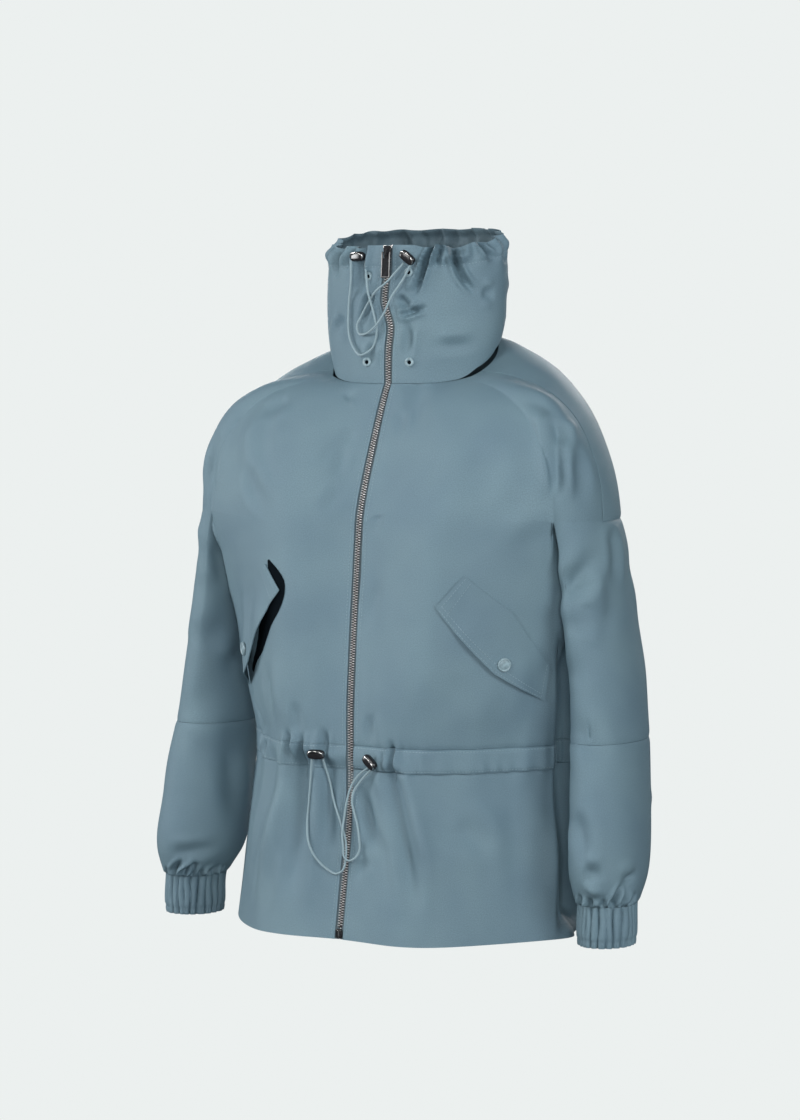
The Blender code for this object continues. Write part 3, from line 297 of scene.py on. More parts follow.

# Creases. Each runs from one place to another on the cloth and bows sideways.
# Width is half the trough's width, depth is how far the cloth goes in (a ridge is negative),
# and lead is 1 where the first end starts at full depth, as at a seam.
# Body places: q along the level, w in metres above the armhole level along the cloth.
# A gain deepens all creases of one table together.
CREASE_NAMES = "side q0 w0 q1 w1 bow width depth lead"
BODY_CREASE_GAIN = 1.4
SLEEVE_CREASE_GAIN = 1.5
COLLAR_CREASE_GAIN = 2.0
BODY_CREASES = table(
    CREASE_NAMES,
    # chest and shoulder, wearer's left
    (1, 1.04, 0.012, 1.13, 0.070, -0.01, 0.007, 0.0058, 0),
    (1, 1.27, 0.101, 1.06, 0.036, -0.03, 0.009, 0.0050, 0),
    (1, 0.98, 0.010, 1.08, 0.085, 0.00, 0.013, -0.0030, 0),
    (1, 0.755, 0.085, 0.58, 0.019, 0.02, 0.016, 0.0022, 0),
    (1, 0.92, 0.019, 0.755, -0.020, 0.00, 0.012, -0.0018, 0),
    (1, 0.14, 0.138, 0.15, 0.105, 0.01, 0.006, 0.0018, 0),
    (1, 0.22, 0.185, 0.34, 0.080, 0.02, 0.010, 0.0014, 1),
    (1, 0.55, 0.060, 0.38, -0.060, 0.04, 0.022, -0.0020, 0),
    (1, 1.06, 0.130, 1.24, 0.085, 0.03, 0.009, 0.0026, 0),
    (1, 1.08, 0.075, 1.30, 0.060, 0.02, 0.008, 0.0022, 0),
    (1, 1.14, 0.060, 1.16, 0.005, 0.02, 0.010, -0.0020, 0),
    (1, 1.25, 0.050, 1.24, 0.000, 0.00, 0.010, 0.0020, 0),
    (1, 0.10, 0.020, 0.09, -0.020, 0.01, 0.006, 0.0018, 0),
    (1, 0.12, -0.060, 0.08, -0.120, 0.01, 0.008, 0.0016, 0),
    (1, 0.93, -0.130, 0.86, -0.230, 0.00, 0.012, 0.0016, 0),
    (1, 0.62, -0.150, 0.50, -0.225, 0.02, 0.018, 0.0016, 0),
    # chest and shoulder, wearer's right
    (-1, 1.04, 0.012, 1.13, 0.070, 0.00, 0.008, 0.0040, 0),
    (-1, 0.89, 0.120, 0.51, 0.016, 0.06, 0.012, -0.0030, 0),
    (-1, 0.72, 0.060, 0.50, 0.010, 0.04, 0.009, 0.0032, 0),
    (-1, 0.83, 0.140, 0.80, 0.100, 0.00, 0.008, 0.0022, 0),
    (-1, 0.33, 0.148, 0.195, 0.164, 0.02, 0.006, 0.0014, 0),
    (-1, 0.10, 0.120, 0.30, 0.075, 0.00, 0.007, 0.0016, 0),
    (-1, 0.14, 0.098, 0.17, 0.063, 0.02, 0.006, 0.0018, 0),
    (-1, 0.12, 0.060, 0.22, 0.010, 0.01, 0.007, 0.0014, 0),
    (-1, 0.70, -0.060, 0.66, -0.170, 0.03, 0.012, -0.0020, 0),
    (-1, 0.55, -0.150, 0.52, -0.236, 0.00, 0.008, 0.0024, 0),
    (-1, 0.34, -0.190, 0.31, -0.238, 0.00, 0.006, 0.0020, 0),
    (-1, 0.80, -0.190, 0.62, -0.236, 0.02, 0.008, 0.0026, 0),
    # skirt, wearer's left
    (1, 0.07, -0.276, 0.24, -0.352, -0.02, 0.007, 0.0056, 0),
    (1, 0.285, -0.268, 0.470, -0.420, 0.03, 0.009, 0.0066, 1),
    (1, 0.32, -0.270, 0.60, -0.390, 0.02, 0.016, -0.0034, 1),
    (1, 0.60, -0.310, 0.76, -0.345, 0.00, 0.013, 0.0028, 0),
    (1, 0.16, -0.350, 0.10, -0.380, -0.02, 0.006, 0.0016, 0),
    (1, 0.80, -0.272, 0.86, -0.420, 0.00, 0.014, 0.0022, 0),
    (1, 0.97, -0.300, 0.96, -0.420, 0.02, 0.010, -0.0022, 0),
    # skirt, wearer's right
    (-1, 0.400, -0.267, 0.56, -0.434, 0.02, 0.010, -0.0044, 0),
    (-1, 0.310, -0.262, 0.30, -0.420, 0.00, 0.012, 0.0064, 1),
    (-1, 0.150, -0.262, 0.08, -0.360, 0.01, 0.007, 0.0040, 1),
    (-1, 0.210, -0.270, 0.20, -0.360, 0.00, 0.008, -0.0016, 1),
    (-1, 0.550, -0.265, 0.70, -0.400, 0.00, 0.012, 0.0022, 1),
    (-1, 0.080, -0.262, 0.06, -0.300, 0.00, 0.007, 0.0018, 1),
    # waist, both fronts: tucks that the cord draws
    (1, 0.268, -0.226, 0.300, -0.280, 0.00, 0.0034, 0.0064, 0),
    (1, 0.235, -0.236, 0.225, -0.266, 0.00, 0.0040, 0.0030, 0),
    (1, 0.130, -0.200, 0.145, -0.240, 0.00, 0.0060, 0.0022, 0),
    (-1, 0.700, -0.230, 0.690, -0.272, 0.00, 0.0034, 0.0064, 0),
    (-1, 0.640, -0.240, 0.655, -0.262, 0.00, 0.0040, 0.0026, 0),
    (-1, 0.400, -0.222, 0.380, -0.264, 0.00, 0.0034, 0.0056, 0),
    (-1, 0.305, -0.222, 0.325, -0.280, 0.00, 0.0036, 0.0066, 0),
    (-1, 0.160, -0.218, 0.170, -0.268, 0.00, 0.0040, 0.0048, 0),
    # back
    (1, 2.14, -0.040, 2.05, 0.080, 0.00, 0.011, 0.0036, 0),
    (-1, 2.15, -0.036, 2.06, 0.072, 0.00, 0.012, 0.0034, 0),
    (1, 2.10, -0.200, 2.55, -0.140, 0.00, 0.014, 0.0030, 0),
    (-1, 2.14, -0.190, 2.50, -0.120, 0.04, 0.013, 0.0028, 0),
    (1, 2.45, 0.120, 2.30, 0.010, 0.03, 0.016, 0.0022, 0),
    (-1, 2.52, 0.130, 2.36, -0.010, 0.03, 0.015, 0.0024, 0),
    (1, 2.20, -0.285, 2.30, -0.410, 0.00, 0.013, 0.0040, 1),
    (-1, 2.24, -0.280, 2.30, -0.420, 0.00, 0.012, 0.0042, 1),
    (1, 2.62, -0.278, 2.72, -0.420, 0.00, 0.013, 0.0038, 1),
    (-1, 2.66, -0.280, 2.74, -0.400, 0.02, 0.012, 0.0034, 1),
    (1, 2.92, -0.275, 2.95, -0.400, 0.00, 0.012, 0.0030, 1),
)
# Sleeve places: turn once round from 0 at the front through 0.25 outside, and height.
SLEEVE_CREASES = table(
    CREASE_NAMES,
    # wearer's left
    (1, -0.04, -0.262, 0.18, -0.200, 0.02, 0.011, 0.0034, 0),
    (1, 0.00, -0.290, 0.15, -0.225, 0.03, 0.015, -0.0036, 0),
    (1, -0.02, -0.296, 0.144, -0.258, 0.00, 0.012, 0.0022, 0),
    (1, 0.067, -0.217, 0.083, -0.298, 0.00, 0.012, 0.0028, 0),
    (1, -0.06, -0.345, 0.06, -0.310, 0.00, 0.014, 0.0016, 0),
    (1, 0.036, -0.398, 0.036, -0.376, 0.00, 0.0018, 0.0012, 1),
    (1, 0.24, -0.200, 0.20, -0.250, 0.01, 0.009, 0.0024, 1),
    (1, -0.08, -0.375, 0.10, -0.430, 0.02, 0.013, 0.0026, 0),
    (1, -0.02, -0.534, 0.09, -0.536, 0.00, 0.008, 0.0034, 0),
    (1, -0.06, -0.470, -0.02, -0.530, 0.02, 0.010, 0.0036, 0),
    (1, 0.088, -0.576, 0.164, -0.544, 0.00, 0.0030, 0.0058, 1),
    (1, -0.008, -0.576, 0.008, -0.558, 0.00, 0.0028, 0.0054, 1),
    (1, 0.056, -0.576, 0.074, -0.560, 0.00, 0.0026, 0.0040, 1),
    (1, 0.120, -0.576, 0.124, -0.562, 0.00, 0.0026, 0.0032, 1),
    (1, 0.145, -0.576, 0.148, -0.564, 0.00, 0.0026, 0.0030, 1),
    (1, -0.060, -0.576, -0.050, -0.556, 0.00, 0.0030, 0.0050, 1),
    (1, 0.165, -0.544, 0.225, -0.537, 0.00, 0.0036, 0.0018, 0),
    (1, 0.00, -0.556, 0.06, -0.548, 0.01, 0.007, -0.0022, 0),
    (1, 0.14, -0.548, 0.24, -0.540, 0.00, 0.008, 0.0026, 0),
    (1, 0.205, -0.576, 0.230, -0.556, 0.00, 0.0034, 0.0042, 1),
    # wearer's right
    (-1, 0.010, -0.546, -0.190, -0.536, 0.00, 0.007, 0.0024, 0),
    (-1, 0.005, -0.566, -0.053, -0.550, 0.00, 0.0028, 0.0040, 1),
    (-1, -0.044, -0.566, -0.100, -0.552, -0.01, 0.0028, 0.0048, 1),
    (-1, -0.081, -0.576, -0.104, -0.553, 0.00, 0.0028, 0.0052, 1),
    (-1, -0.006, -0.576, -0.008, -0.562, 0.00, 0.0028, 0.0050, 1),
    (-1, -0.114, -0.576, -0.128, -0.560, 0.00, 0.0028, 0.0050, 1),
    (-1, -0.136, -0.576, -0.190, -0.560, 0.00, 0.0030, 0.0050, 1),
    (-1, -0.183, -0.576, -0.196, -0.558, 0.00, 0.0028, 0.0040, 1),
    (-1, -0.222, -0.576, -0.236, -0.560, 0.00, 0.0028, 0.0040, 1),
    (-1, 0.060, -0.576, 0.050, -0.560, 0.00, 0.0030, 0.0036, 1),
    (-1, -0.16, -0.430, -0.24, -0.520, 0.00, 0.014, 0.0026, 0),
    (-1, -0.056, -0.205, -0.158, -0.275, 0.00, 0.011, 0.0020, 0),
    (-1, -0.203, -0.320, -0.142, -0.361, 0.00, 0.011, 0.0016, 0),
    (-1, -0.03, -0.330, -0.17, -0.290, 0.02, 0.015, 0.0028, 0),
    (-1, 0.00, -0.240, -0.12, -0.300, 0.02, 0.015, 0.0018, 0),
    (-1, 0.16, -0.190, 0.05, -0.240, 0.02, 0.012, 0.0030, 0),
    (-1, -0.05, -0.430, -0.20, -0.390, 0.02, 0.018, -0.0024, 0),
    # hidden sides
    (1, 0.50, -0.380, 0.70, -0.430, 0.00, 0.012, 0.0032, 0),
    (-1, 0.46, -0.370, 0.66, -0.420, 0.02, 0.013, 0.0034, 0),
    (1, 0.36, -0.440, 0.50, -0.470, 0.02, 0.012, 0.0026, 0),
    (-1, 0.26, -0.450, 0.46, -0.480, 0.01, 0.012, 0.0032, 0),
    (1, 0.42, -0.540, 0.62, -0.545, 0.00, 0.010, 0.0034, 0),
    (-1, 0.38, -0.545, 0.56, -0.538, 0.00, 0.010, 0.0034, 0),
    (1, 0.36, -0.210, 0.46, -0.290, 0.02, 0.014, 0.0030, 0),
    (-1, 0.34, -0.215, 0.47, -0.285, 0.02, 0.014, 0.0030, 0),
)
# Collar places: degrees round from the zip, and height share from neck seam to rim.
COLLAR_CREASES = table(
    CREASE_NAMES,
    (1, 27.5, 1.00, 18.5, 0.60, -1.0, 0.0031, 0.0066, 1),
    (1, 33.0, 0.98, 30.5, 0.82, 0.0, 0.0030, 0.0044, 1),
    (1, 41.5, 1.00, 45.0, 0.82, 0.0, 0.0034, 0.0066, 1),
    (1, 43.5, 0.88, 60.0, 0.60, -3.0, 0.0034, 0.0046, 1),
    (1, 52.0, 1.00, 50.0, 0.84, 0.0, 0.0050, -0.0030, 1),
    (1, 64.0, 1.00, 76.0, 0.82, 0.0, 0.0034, 0.0052, 1),
    (1, 11.0, 0.50, 26.0, 0.56, 1.0, 0.0030, 0.0034, 1),
    (1, 11.0, 0.60, 17.0, 0.49, 1.0, 0.0040, 0.0026, 1),
    (1, 12.0, 0.66, 16.0, 0.80, 1.0, 0.0050, -0.0016, 0),
    (1, 24.0, 0.27, 68.0, 0.25, 0.0, 0.0060, 0.0009, 0),
    (1, 30.0, 0.36, 62.0, 0.34, 0.0, 0.0090, -0.0012, 0),
    (1, 11.0, 0.46, 12.5, 0.16, 1.0, 0.0046, 0.0024, 0),
    (1, 62.0, 0.62, 78.0, 0.56, 0.0, 0.0060, 0.0018, 0),
    (1, -18.0, 0.98, -22.0, 0.66, 0.0, 0.0045, 0.0044, 1),
    (1, -30.0, 1.00, -33.0, 0.80, 0.0, 0.0040, 0.0044, 1),
    (1, -44.0, 1.00, -47.0, 0.74, 0.0, 0.0045, 0.0042, 1),
    (1, -60.0, 1.00, -64.0, 0.78, 0.0, 0.0050, 0.0040, 1),
    (1, -10.0, 0.60, -20.0, 0.42, 0.0, 0.0045, 0.0030, 1),
    (1, -12.0, 0.30, -13.0, 0.12, 0.0, 0.0050, 0.0024, 0),
    (1, -36.0, 0.50, -46.0, 0.30, 0.0, 0.0070, 0.0022, 0),
    (1, -12.0, 0.86, -26.0, 0.60, 2.0, 0.0060, 0.0028, 0),
    (1, 92.0, 1.00, 96.0, 0.74, 0.0, 0.0060, 0.0036, 1),
    (1, 112.0, 1.00, 108.0, 0.70, 0.0, 0.0060, 0.0038, 1),
    (1, 131.0, 1.00, 136.0, 0.78, 0.0, 0.0060, 0.0034, 1),
    (1, 152.0, 1.00, 149.0, 0.70, 0.0, 0.0060, 0.0040, 1),
    (1, 176.0, 1.00, 180.0, 0.76, 0.0, 0.0060, 0.0036, 1),
    (1, 201.0, 1.00, 197.0, 0.72, 0.0, 0.0060, 0.0038, 1),
    (1, 226.0, 1.00, 230.0, 0.76, 0.0, 0.0060, 0.0034, 1),
    (1, 252.0, 1.00, 249.0, 0.72, 0.0, 0.0060, 0.0036, 1),
    (1, 276.0, 1.00, 279.0, 0.78, 0.0, 0.0060, 0.0034, 1),
    (1, 100.0, 0.40, 150.0, 0.34, 0.0, 0.0090, 0.0022, 0),
    (1, 210.0, 0.36, 262.0, 0.42, 0.0, 0.0090, 0.0024, 0),
)

# Pocket flap on the wearer's left: where it is sewn on and where its free edge lies.
FLAP = table(
    "along sewn_x sewn_z  free_x free_z",
    (0.00, 0.1270, -0.233, 0.1000, -0.266),
    (0.50, 0.1660, -0.270, 0.1480, -0.335),
    (1.00, 0.1900, -0.330, 0.1830, -0.366),
)
FLAP_RIGHT_SHIFT = (-0.0180, 0.0040)
FLAP_CORNER = 0.24
FLAP_REACH = 0.09
FLAP_SEAT = 0.0009
FLAP_LIFT = 0.0035
FLAP_LIFT_OPEN = 0.0090
FLAP_DENT = 0.0012
FLAPS = ((-1.0, "right", FLAP_LIFT_OPEN), (1.0, "left", FLAP_LIFT))
# Painted shadow under the right flap's free edge, where it stands open: a near-black sheet with its outer
# edge and inner edge on the front.
MOUTH = table(
    "along outer_q outer_z inner_q inner_z",
    (0.00, 0.520, -0.224, 0.530, -0.225),
    (0.12, 0.445, -0.236, 0.520, -0.240),
    (0.22, 0.405, -0.247, 0.510, -0.254),
    (0.30, 0.400, -0.257, 0.510, -0.264),
    (0.38, 0.410, -0.266, 0.520, -0.272),
    (0.50, 0.445, -0.280, 0.560, -0.284),
    (0.60, 0.490, -0.292, 0.610, -0.296),
    (0.74, 0.545, -0.310, 0.635, -0.312),
    (0.84, 0.590, -0.323, 0.655, -0.324),
    (0.92, 0.650, -0.335, 0.690, -0.335),
    (1.00, 0.705, -0.349, 0.725, -0.346),
)
MOUTH_THICKNESS = 0.0003
MOUTH_LIFT = 0.0005
SNAP_ALONG = 0.56
SNAP_ACROSS = 0.78

# Drawcord loops, the part's routes: sideways from the centre line, height, and lift over the cloth.
COLLAR_CORD_RIGHT = table(
    "x      z      lift",
    (-0.0425, 0.0919, 0.0030),
    (-0.0438, 0.0700, 0.0017),
    (-0.0475, 0.0460, 0.0016),
    (-0.0515, 0.0280, 0.0016),
    (-0.0500, 0.0120, 0.0018),
    (-0.0420, -0.0010, 0.0022),
    (-0.0315, -0.0080, 0.0026),
    (-0.0210, -0.0010, 0.0024),
    (-0.0145, 0.0170, 0.0020),
    (-0.0140, 0.0380, 0.0016),
    (-0.0168, 0.0575, 0.0018),
    (-0.0250, 0.0780, 0.0034),
    (-0.0335, 0.0919, 0.0030),
)
COLLAR_CORD_LEFT = table(
    "x      z      lift",
    (0.0205, 0.0884, 0.0034),
    (0.0120, 0.0780, 0.0046),
    (0.0050, 0.0690, 0.0054),
    (-0.0060, 0.0600, 0.0056),
    (-0.0205, 0.0475, 0.0052),
    (-0.0335, 0.0325, 0.0030),
    (-0.0400, 0.0225, 0.0020),
    (-0.0372, 0.0148, 0.0020),
    (-0.0269, 0.0146, 0.0034),
    (-0.0149, 0.0218, 0.0054),
    (-0.0020, 0.0348, 0.0044),
    (0.0110, 0.0525, 0.0036),
    (0.0215, 0.0715, 0.0036),
    (0.0290, 0.0884, 0.0034),
)
WAIST_CORD_RIGHT = table(
    "x      z       lift",
    (-0.0400, -0.4310, 0.0034),
    (-0.0432, -0.4530, 0.0020),
    (-0.0450, -0.4765, 0.0017),
    (-0.0445, -0.5000, 0.0017),
    (-0.0397, -0.5196, 0.0017),
    (-0.0308, -0.5340, 0.0017),
    (-0.0183, -0.5447, 0.0018),
    (-0.0067, -0.5492, 0.0020),
    (0.0012, -0.5445, 0.0022),
    (0.0034, -0.5325, 0.0022),
    (0.0004, -0.5150, 0.0020),
    (-0.0058, -0.4969, 0.0018),
    (-0.0177, -0.4742, 0.0017),
    (-0.0243, -0.4550, 0.0020),
    (-0.0310, -0.4310, 0.0034),
)
WAIST_CORD_LEFT = table(
    "x      z       lift",
    (0.0265, -0.4356, 0.0034),
    (0.0150, -0.4440, 0.0034),
    (0.0060, -0.4560, 0.0034),
    (0.0004, -0.4718, 0.0036),
    (-0.0014, -0.4897, 0.0042),
    (-0.0016, -0.5075, 0.0056),
    (0.0000, -0.5220, 0.0058),
    (0.0030, -0.5304, 0.0058),
    (0.0091, -0.5345, 0.0048),
    (0.0160, -0.5315, 0.0030),
    (0.0203, -0.5232, 0.0018),
    (0.0200, -0.5100, 0.0017),
    (0.0164, -0.4969, 0.0018),
    (0.0112, -0.4837, 0.0024),
    (0.0076, -0.4740, 0.0030),
    (0.0080, -0.4634, 0.0032),
    (0.0150, -0.4530, 0.0034),
    (0.0340, -0.4356, 0.0034),
)

CORDS = {
    "cord_collar_right": COLLAR_CORD_RIGHT,
    "cord_collar_left": COLLAR_CORD_LEFT,
    "cord_waist_right": WAIST_CORD_RIGHT,
    "cord_waist_left": WAIST_CORD_LEFT,
}

# Cord locks: sideways from the centre line, height, seat over the cloth, and turn in degrees.
LOCKS = {
    "lock_collar_right": (-0.0380, 0.0974, 0.0015, 0.0),
    "lock_collar_left": (0.0248, 0.0940, 0.0015, 40.0),
    "lock_waist_right": (-0.0355, -0.4255, 0.0032, 0.0),
    "lock_waist_left": (0.0303, -0.4300, 0.0040, 40.0),
}
# Eyelets: sideways from the centre line, and height.
EYELETS = {
    "eyelet_collar_upper_right": (-0.0250, 0.0755),
    "eyelet_collar_upper_left": (0.0250, 0.0790),
    "eyelet_collar_lower_right": (-0.0270, -0.0155),
    "eyelet_collar_lower_left": (0.0250, -0.0155),
}


# Shape functions: the forms of the part's cloth


def smooth(t):
    """A soft step from 0 to 1."""
    t = np.clip(t, 0.0, 1.0)
    return t * t * (3.0 - 2.0 * t)


def signed_power(base, power):
    return np.sign(base) * np.abs(base) ** power


def through(knots, values, at):
    """A smooth curve through table values, with slopes taken from the neighbouring rows."""
    at = np.asarray(at, float)
    slopes = np.gradient(values, knots)
    k = np.clip(np.searchsorted(knots, at, side="right") - 1, 0, len(knots) - 2)
    step = knots[k + 1] - knots[k]
    t = np.clip((at - knots[k]) / step, 0.0, 1.0)
    start = (1.0 + 2.0 * t) * (1.0 - t) ** 2 * values[k] + t * (1.0 - t) ** 2 * step * slopes[k]
    end = t * t * (3.0 - 2.0 * t) * values[k + 1] + t * t * (t - 1.0) * step * slopes[k + 1]
    return start + end


def look_up(rows, key, at):
    """Each column of a table at given places along its first column."""
    return {name: through(rows[key], rows[name], at) for name in rows if name != key}


def straight(rows, key, at):
    """Each column of a table with straight stretches between its rows."""
    return {name: np.interp(at, rows[key], rows[name]) for name in rows if name != key}


def points(x, y, z):
    return np.stack(np.broadcast_arrays(x, y, z), axis=-1).astype(float)


def unit(v):
    return v / np.linalg.norm(v, axis=-1, keepdims=True)


def run_length(p):
    """Length along a row of points, from 0 at the first one."""
    return np.concatenate([[0.0], np.cumsum(np.linalg.norm(np.diff(p, axis=0), axis=-1))])


def read_row(values, length, at):
    """A row of points read at given lengths along it."""
    return np.stack([np.interp(at, length, values[:, i]) for i in range(3)], axis=-1)


def wander(p):
    """Lets everything near the zip follow its sideways wave."""
    near = np.exp(-((p[..., 0] / ZIP_WAVE_WIDTH) ** 2)) * smooth(-p[..., 1] / 0.03)
    shift = through(ZIP_WAVE["z"], ZIP_WAVE["x"], p[..., 2]) * near
    return p + shift[..., None] * np.array([1.0, 0.0, 0.0])


def body_section(q, z):
    """A body level: a smooth curve through its seven named places."""
    q, z = np.broadcast_arrays(np.asarray(q, float), np.asarray(z, float))
    row = look_up(BODY, "z", z)
    chest_x = CHEST_SHARE * row["edge_x"]
    blade_x = BLADE_SHARE * row["corner_x"]
    side_y = (row["edge_y"] + row["corner_y"]) / 2.0
    none = np.zeros_like(z)
    xs = np.stack(
        [-chest_x, none, chest_x, row["edge_x"], row["side_x"], row["corner_x"], blade_x, none, -blade_x]
    )
    ys = np.stack(
        [row["chest_y"], row["cf_y"], row["chest_y"], row["edge_y"], side_y]
        + [row["corner_y"], row["blade_y"], row["cb_y"], row["blade_y"]]
    )
    k = np.clip(np.floor(q * 2.0).astype(int), 0, 5)
    t = q * 2.0 - k

    def blend(values):
        before, start, end, after = (np.take_along_axis(values, k[None] + i, 0)[0] for i in range(4))
        bend = 2.0 * before - 5.0 * start + 4.0 * end - after
        twist = 3.0 * (start - end) + after - before
        return start + 0.5 * t * (end - before + t * (bend + t * twist))

    return blend(xs), blend(ys)


def arm_ring(turn, z, side=1.0):
    """A sleeve level; turn runs once round, from 0 at the front through 0.25 outside."""
    row = look_up(SLEEVE, "z", z)
    angle = 2.0 * math.pi * turn - math.pi / 2.0
    inner = row["r_in"] if side > 0.0 else row["r_in_right"]
    reach = np.where(np.cos(angle) > 0.0, row["r_out"], inner)
    return row["x"] + reach * np.cos(angle), row["y"] + row["r_depth"] * np.sin(angle)


def neck_seam_z(degrees):
    return NECK_FRONT_Z + (NECK_BACK_Z - NECK_FRONT_Z) * smooth((1.0 - np.cos(np.radians(degrees))) / 2.0)


def lower_body(q, z, side=1.0):
    """The body below the armhole level; beside the armhole its side follows the sleeve."""
    x, y = body_section(q, z)
    ring_x, ring_y = arm_ring(1.0 - (q - 1.0) / 2.0, np.full(np.shape(q), ARMHOLE_Z))
    ring_x = ring_x - 4.0 * GAP * np.sin(math.pi * (q - 1.0))
    own = smooth((ARMHOLE_Z - z) / ARMHOLE_BLEND)
    own = np.where((q > 1.0) & (q < 2.0), own, 1.0)
    below_waist = (CASING_BOTTOM_Z - z) / (CASING_BOTTOM_Z - HEM_Z)
    drop = RIGHT_HEM_DROP * smooth(below_waist) * smooth((q - 0.4) / 0.7) * smooth(3.0 - q)
    fall = z if side > 0.0 else z - drop
    return wander(points(side * (own * x + (1.0 - own) * ring_x), own * y + (1.0 - own) * ring_y, fall))


def upper_body(q, r, side=1.0):
    """The body from the armhole level, r = 0, to the neck seam, r = 1."""
    x, y = body_section(q, np.full(np.shape(q), ARMHOLE_Z))
    ring_x, ring_y = arm_ring((q - 1.0) / 2.0, np.full(np.shape(q), ARMHOLE_Z))
    on_arm = (q > 1.0) & (q < 2.0)
    x = np.where(on_arm, ring_x, x)
    y = np.where(on_arm, ring_y, y)
    row = look_up(RAYS, "q", q)
    angle = np.radians(row["neck_deg"])
    quarter = math.pi / 2.0 * r
    inward = 1.0 - signed_power(np.cos(quarter), 2.0 / row["power"])
    upward = signed_power(np.sin(quarter), 2.0 / row["power"])
    return wander(
        points(
            side * (x + (NECK_HALF_WIDTH * np.sin(angle) - x) * inward),
            y + (NECK_Y - NECK_HALF_DEPTH * np.cos(angle) - y) * inward,
            ARMHOLE_Z + (neck_seam_z(row["neck_deg"]) - ARMHOLE_Z) * upward,
        )
    )


def sleeve(turn, z, side=1.0):
    x, y = arm_ring(turn, z, side)
    drop = RIGHT_SLEEVE_DROP * smooth((ARMHOLE_Z - z) / (ARMHOLE_Z - CUFF_TOP_Z))
    return points(side * x, y, z if side > 0.0 else z - drop)


def collar(degrees, h, side=1.0):
    """The collar from the neck seam, h = 0, to the rim, h = 1."""
    row = look_up(COLLAR, "h", h)
    angle = np.radians(degrees)
    seam = neck_seam_z(degrees)
    rim = RIM_FRONT_Z + (RIM_BACK_Z - RIM_FRONT_Z) * smooth((1.0 - np.cos(angle)) / 2.0)
    return wander(
        points(
            side * row["half_width"] * np.sin(angle),
            row["y"] - row["half_depth"] * np.cos(angle),
            seam + (rim - seam) * h,
        )
    )


def normals(surface, u, v, side=1.0, du=0.0005):
    """Outward normals of a surface whose u runs round from the front and whose v runs up."""
    dv = 0.0005
    across = surface(u + du, v, side) - surface(u - du, v, side)
    up = surface(u, v + dv, side) - surface(u, v - dv, side)
    return unit(side * np.cross(across, up))


# Creases


def body_place(q, w, side):
    """A place on the body by its height above the armhole level along the cloth."""
    low = lower_body(q, ARMHOLE_Z + np.minimum(w, 0.0), side)
    high = upper_body(q, np.clip(w / UPPER_SPAN, 0.0, NECK_END_R), side)
    return np.where((w < 0.0)[..., None], low, high)


def crease_lines(rows, place, gain, stops=13):
    """Each crease as a line of points on the cloth, with its width, depth and lead."""
    t = np.linspace(0.0, 1.0, stops)
    lines = []
    for side, q0, w0, q1, w1, bow, width, depth, lead in zip(*rows.values()):
        q = q0 + (q1 - q0) * t + bow * np.sin(math.pi * t)
        lines.append((place(q, w0 + (w1 - w0) * t, side), width, gain * depth, lead))
    return lines


def crease_press(p, lines):
    """How far the creases press the cloth in at points p: a trough between two soft ridges."""
    flat = p.reshape(-1, 3)
    total = np.zeros(len(flat))
    for line, width, depth, lead in lines:
        reach = 3.6 * width
        near = np.all((flat > line.min(0) - reach) & (flat < line.max(0) + reach), axis=1)
        if not near.any():
            continue
        start, step = line[:-1], np.diff(line, axis=0)
        from_start = flat[near][:, None] - start
        share = np.clip((from_start * step).sum(-1) / (step**2).sum(-1), 0.0, 1.0)
        away = np.linalg.norm(from_start - share[..., None] * step, axis=-1)
        nearest = away.argmin(axis=1)
        picked = np.arange(len(nearest))
        t = (nearest + share[picked, nearest]) / len(start)
        s = away[picked, nearest] / width
        taper = smooth(t / 0.35 + lead) * smooth((1.0 - t) / 0.55)
        hat = np.exp(-(s**2)) - 0.42 * np.exp(-(((s - 1.9) / 0.8) ** 2))
        total[near] += depth * taper * hat
    return total.reshape(p.shape[:-1])


def drift(p):
    """Slow unevenness of hanging cloth."""
    x, y, z = p[..., 0], p[..., 1], p[..., 2]
    slow = np.sin(37.0 * x + 19.0 * z + 11.0 * y + 1.0) * np.sin(29.0 * z - 13.0 * x + 2.0)
    quick = np.sin(83.0 * x - 21.0 * z + 17.0 * y) * np.sin(61.0 * z + 33.0 * x + 0.7)
    return 0.0010 * slow + 0.0004 * quick


BODY_LINES = crease_lines(BODY_CREASES, body_place, BODY_CREASE_GAIN)
SLEEVE_LINES = crease_lines(SLEEVE_CREASES, sleeve, SLEEVE_CREASE_GAIN)
COLLAR_LINES = crease_lines(COLLAR_CREASES, collar, COLLAR_CREASE_GAIN)


def uneven(turn):
    """Irregular spacing for gathers round a ring."""
    return turn + 0.0080 * np.sin(6.0 * math.pi * turn + 1.0) + 0.0045 * np.sin(14.0 * math.pi * turn + 2.0)


def puffs(turn, count, sharp=0.6):
    """Rounded puffs between narrow valleys: 0 on a puff's crest, 1 in a valley."""
    return 1.0 - np.abs(np.sin(math.pi * count * uneven(turn))) ** sharp


def seam_roll(distance, depth=0.0010, reach=0.0030):
    """Cloth that turns in at a sewn edge."""
    return depth * np.exp(-((distance / reach) ** 2))


def waist_gathers(q, z):
    """Small waves where the waist cord draws the cloth together."""
    waves = np.cos(2.0 * math.pi * (5.0 * q + 0.35 * np.sin(4.0 * q) + 0.2 * np.sin(9.0 * q)))
    small = np.cos(2.0 * math.pi * (13.0 * q + 0.6 * np.sin(5.0 * q)))
    away = np.clip(np.maximum(z - CASING_TOP_Z, CASING_BOTTOM_Z - z), 0.0, None)
    start = smooth((q - TAPE_OUTER_Q) / 0.12)
    return (0.0014 * waves * np.exp(-away / 0.035) + 0.0005 * small * np.exp(-away / 0.010)) * start


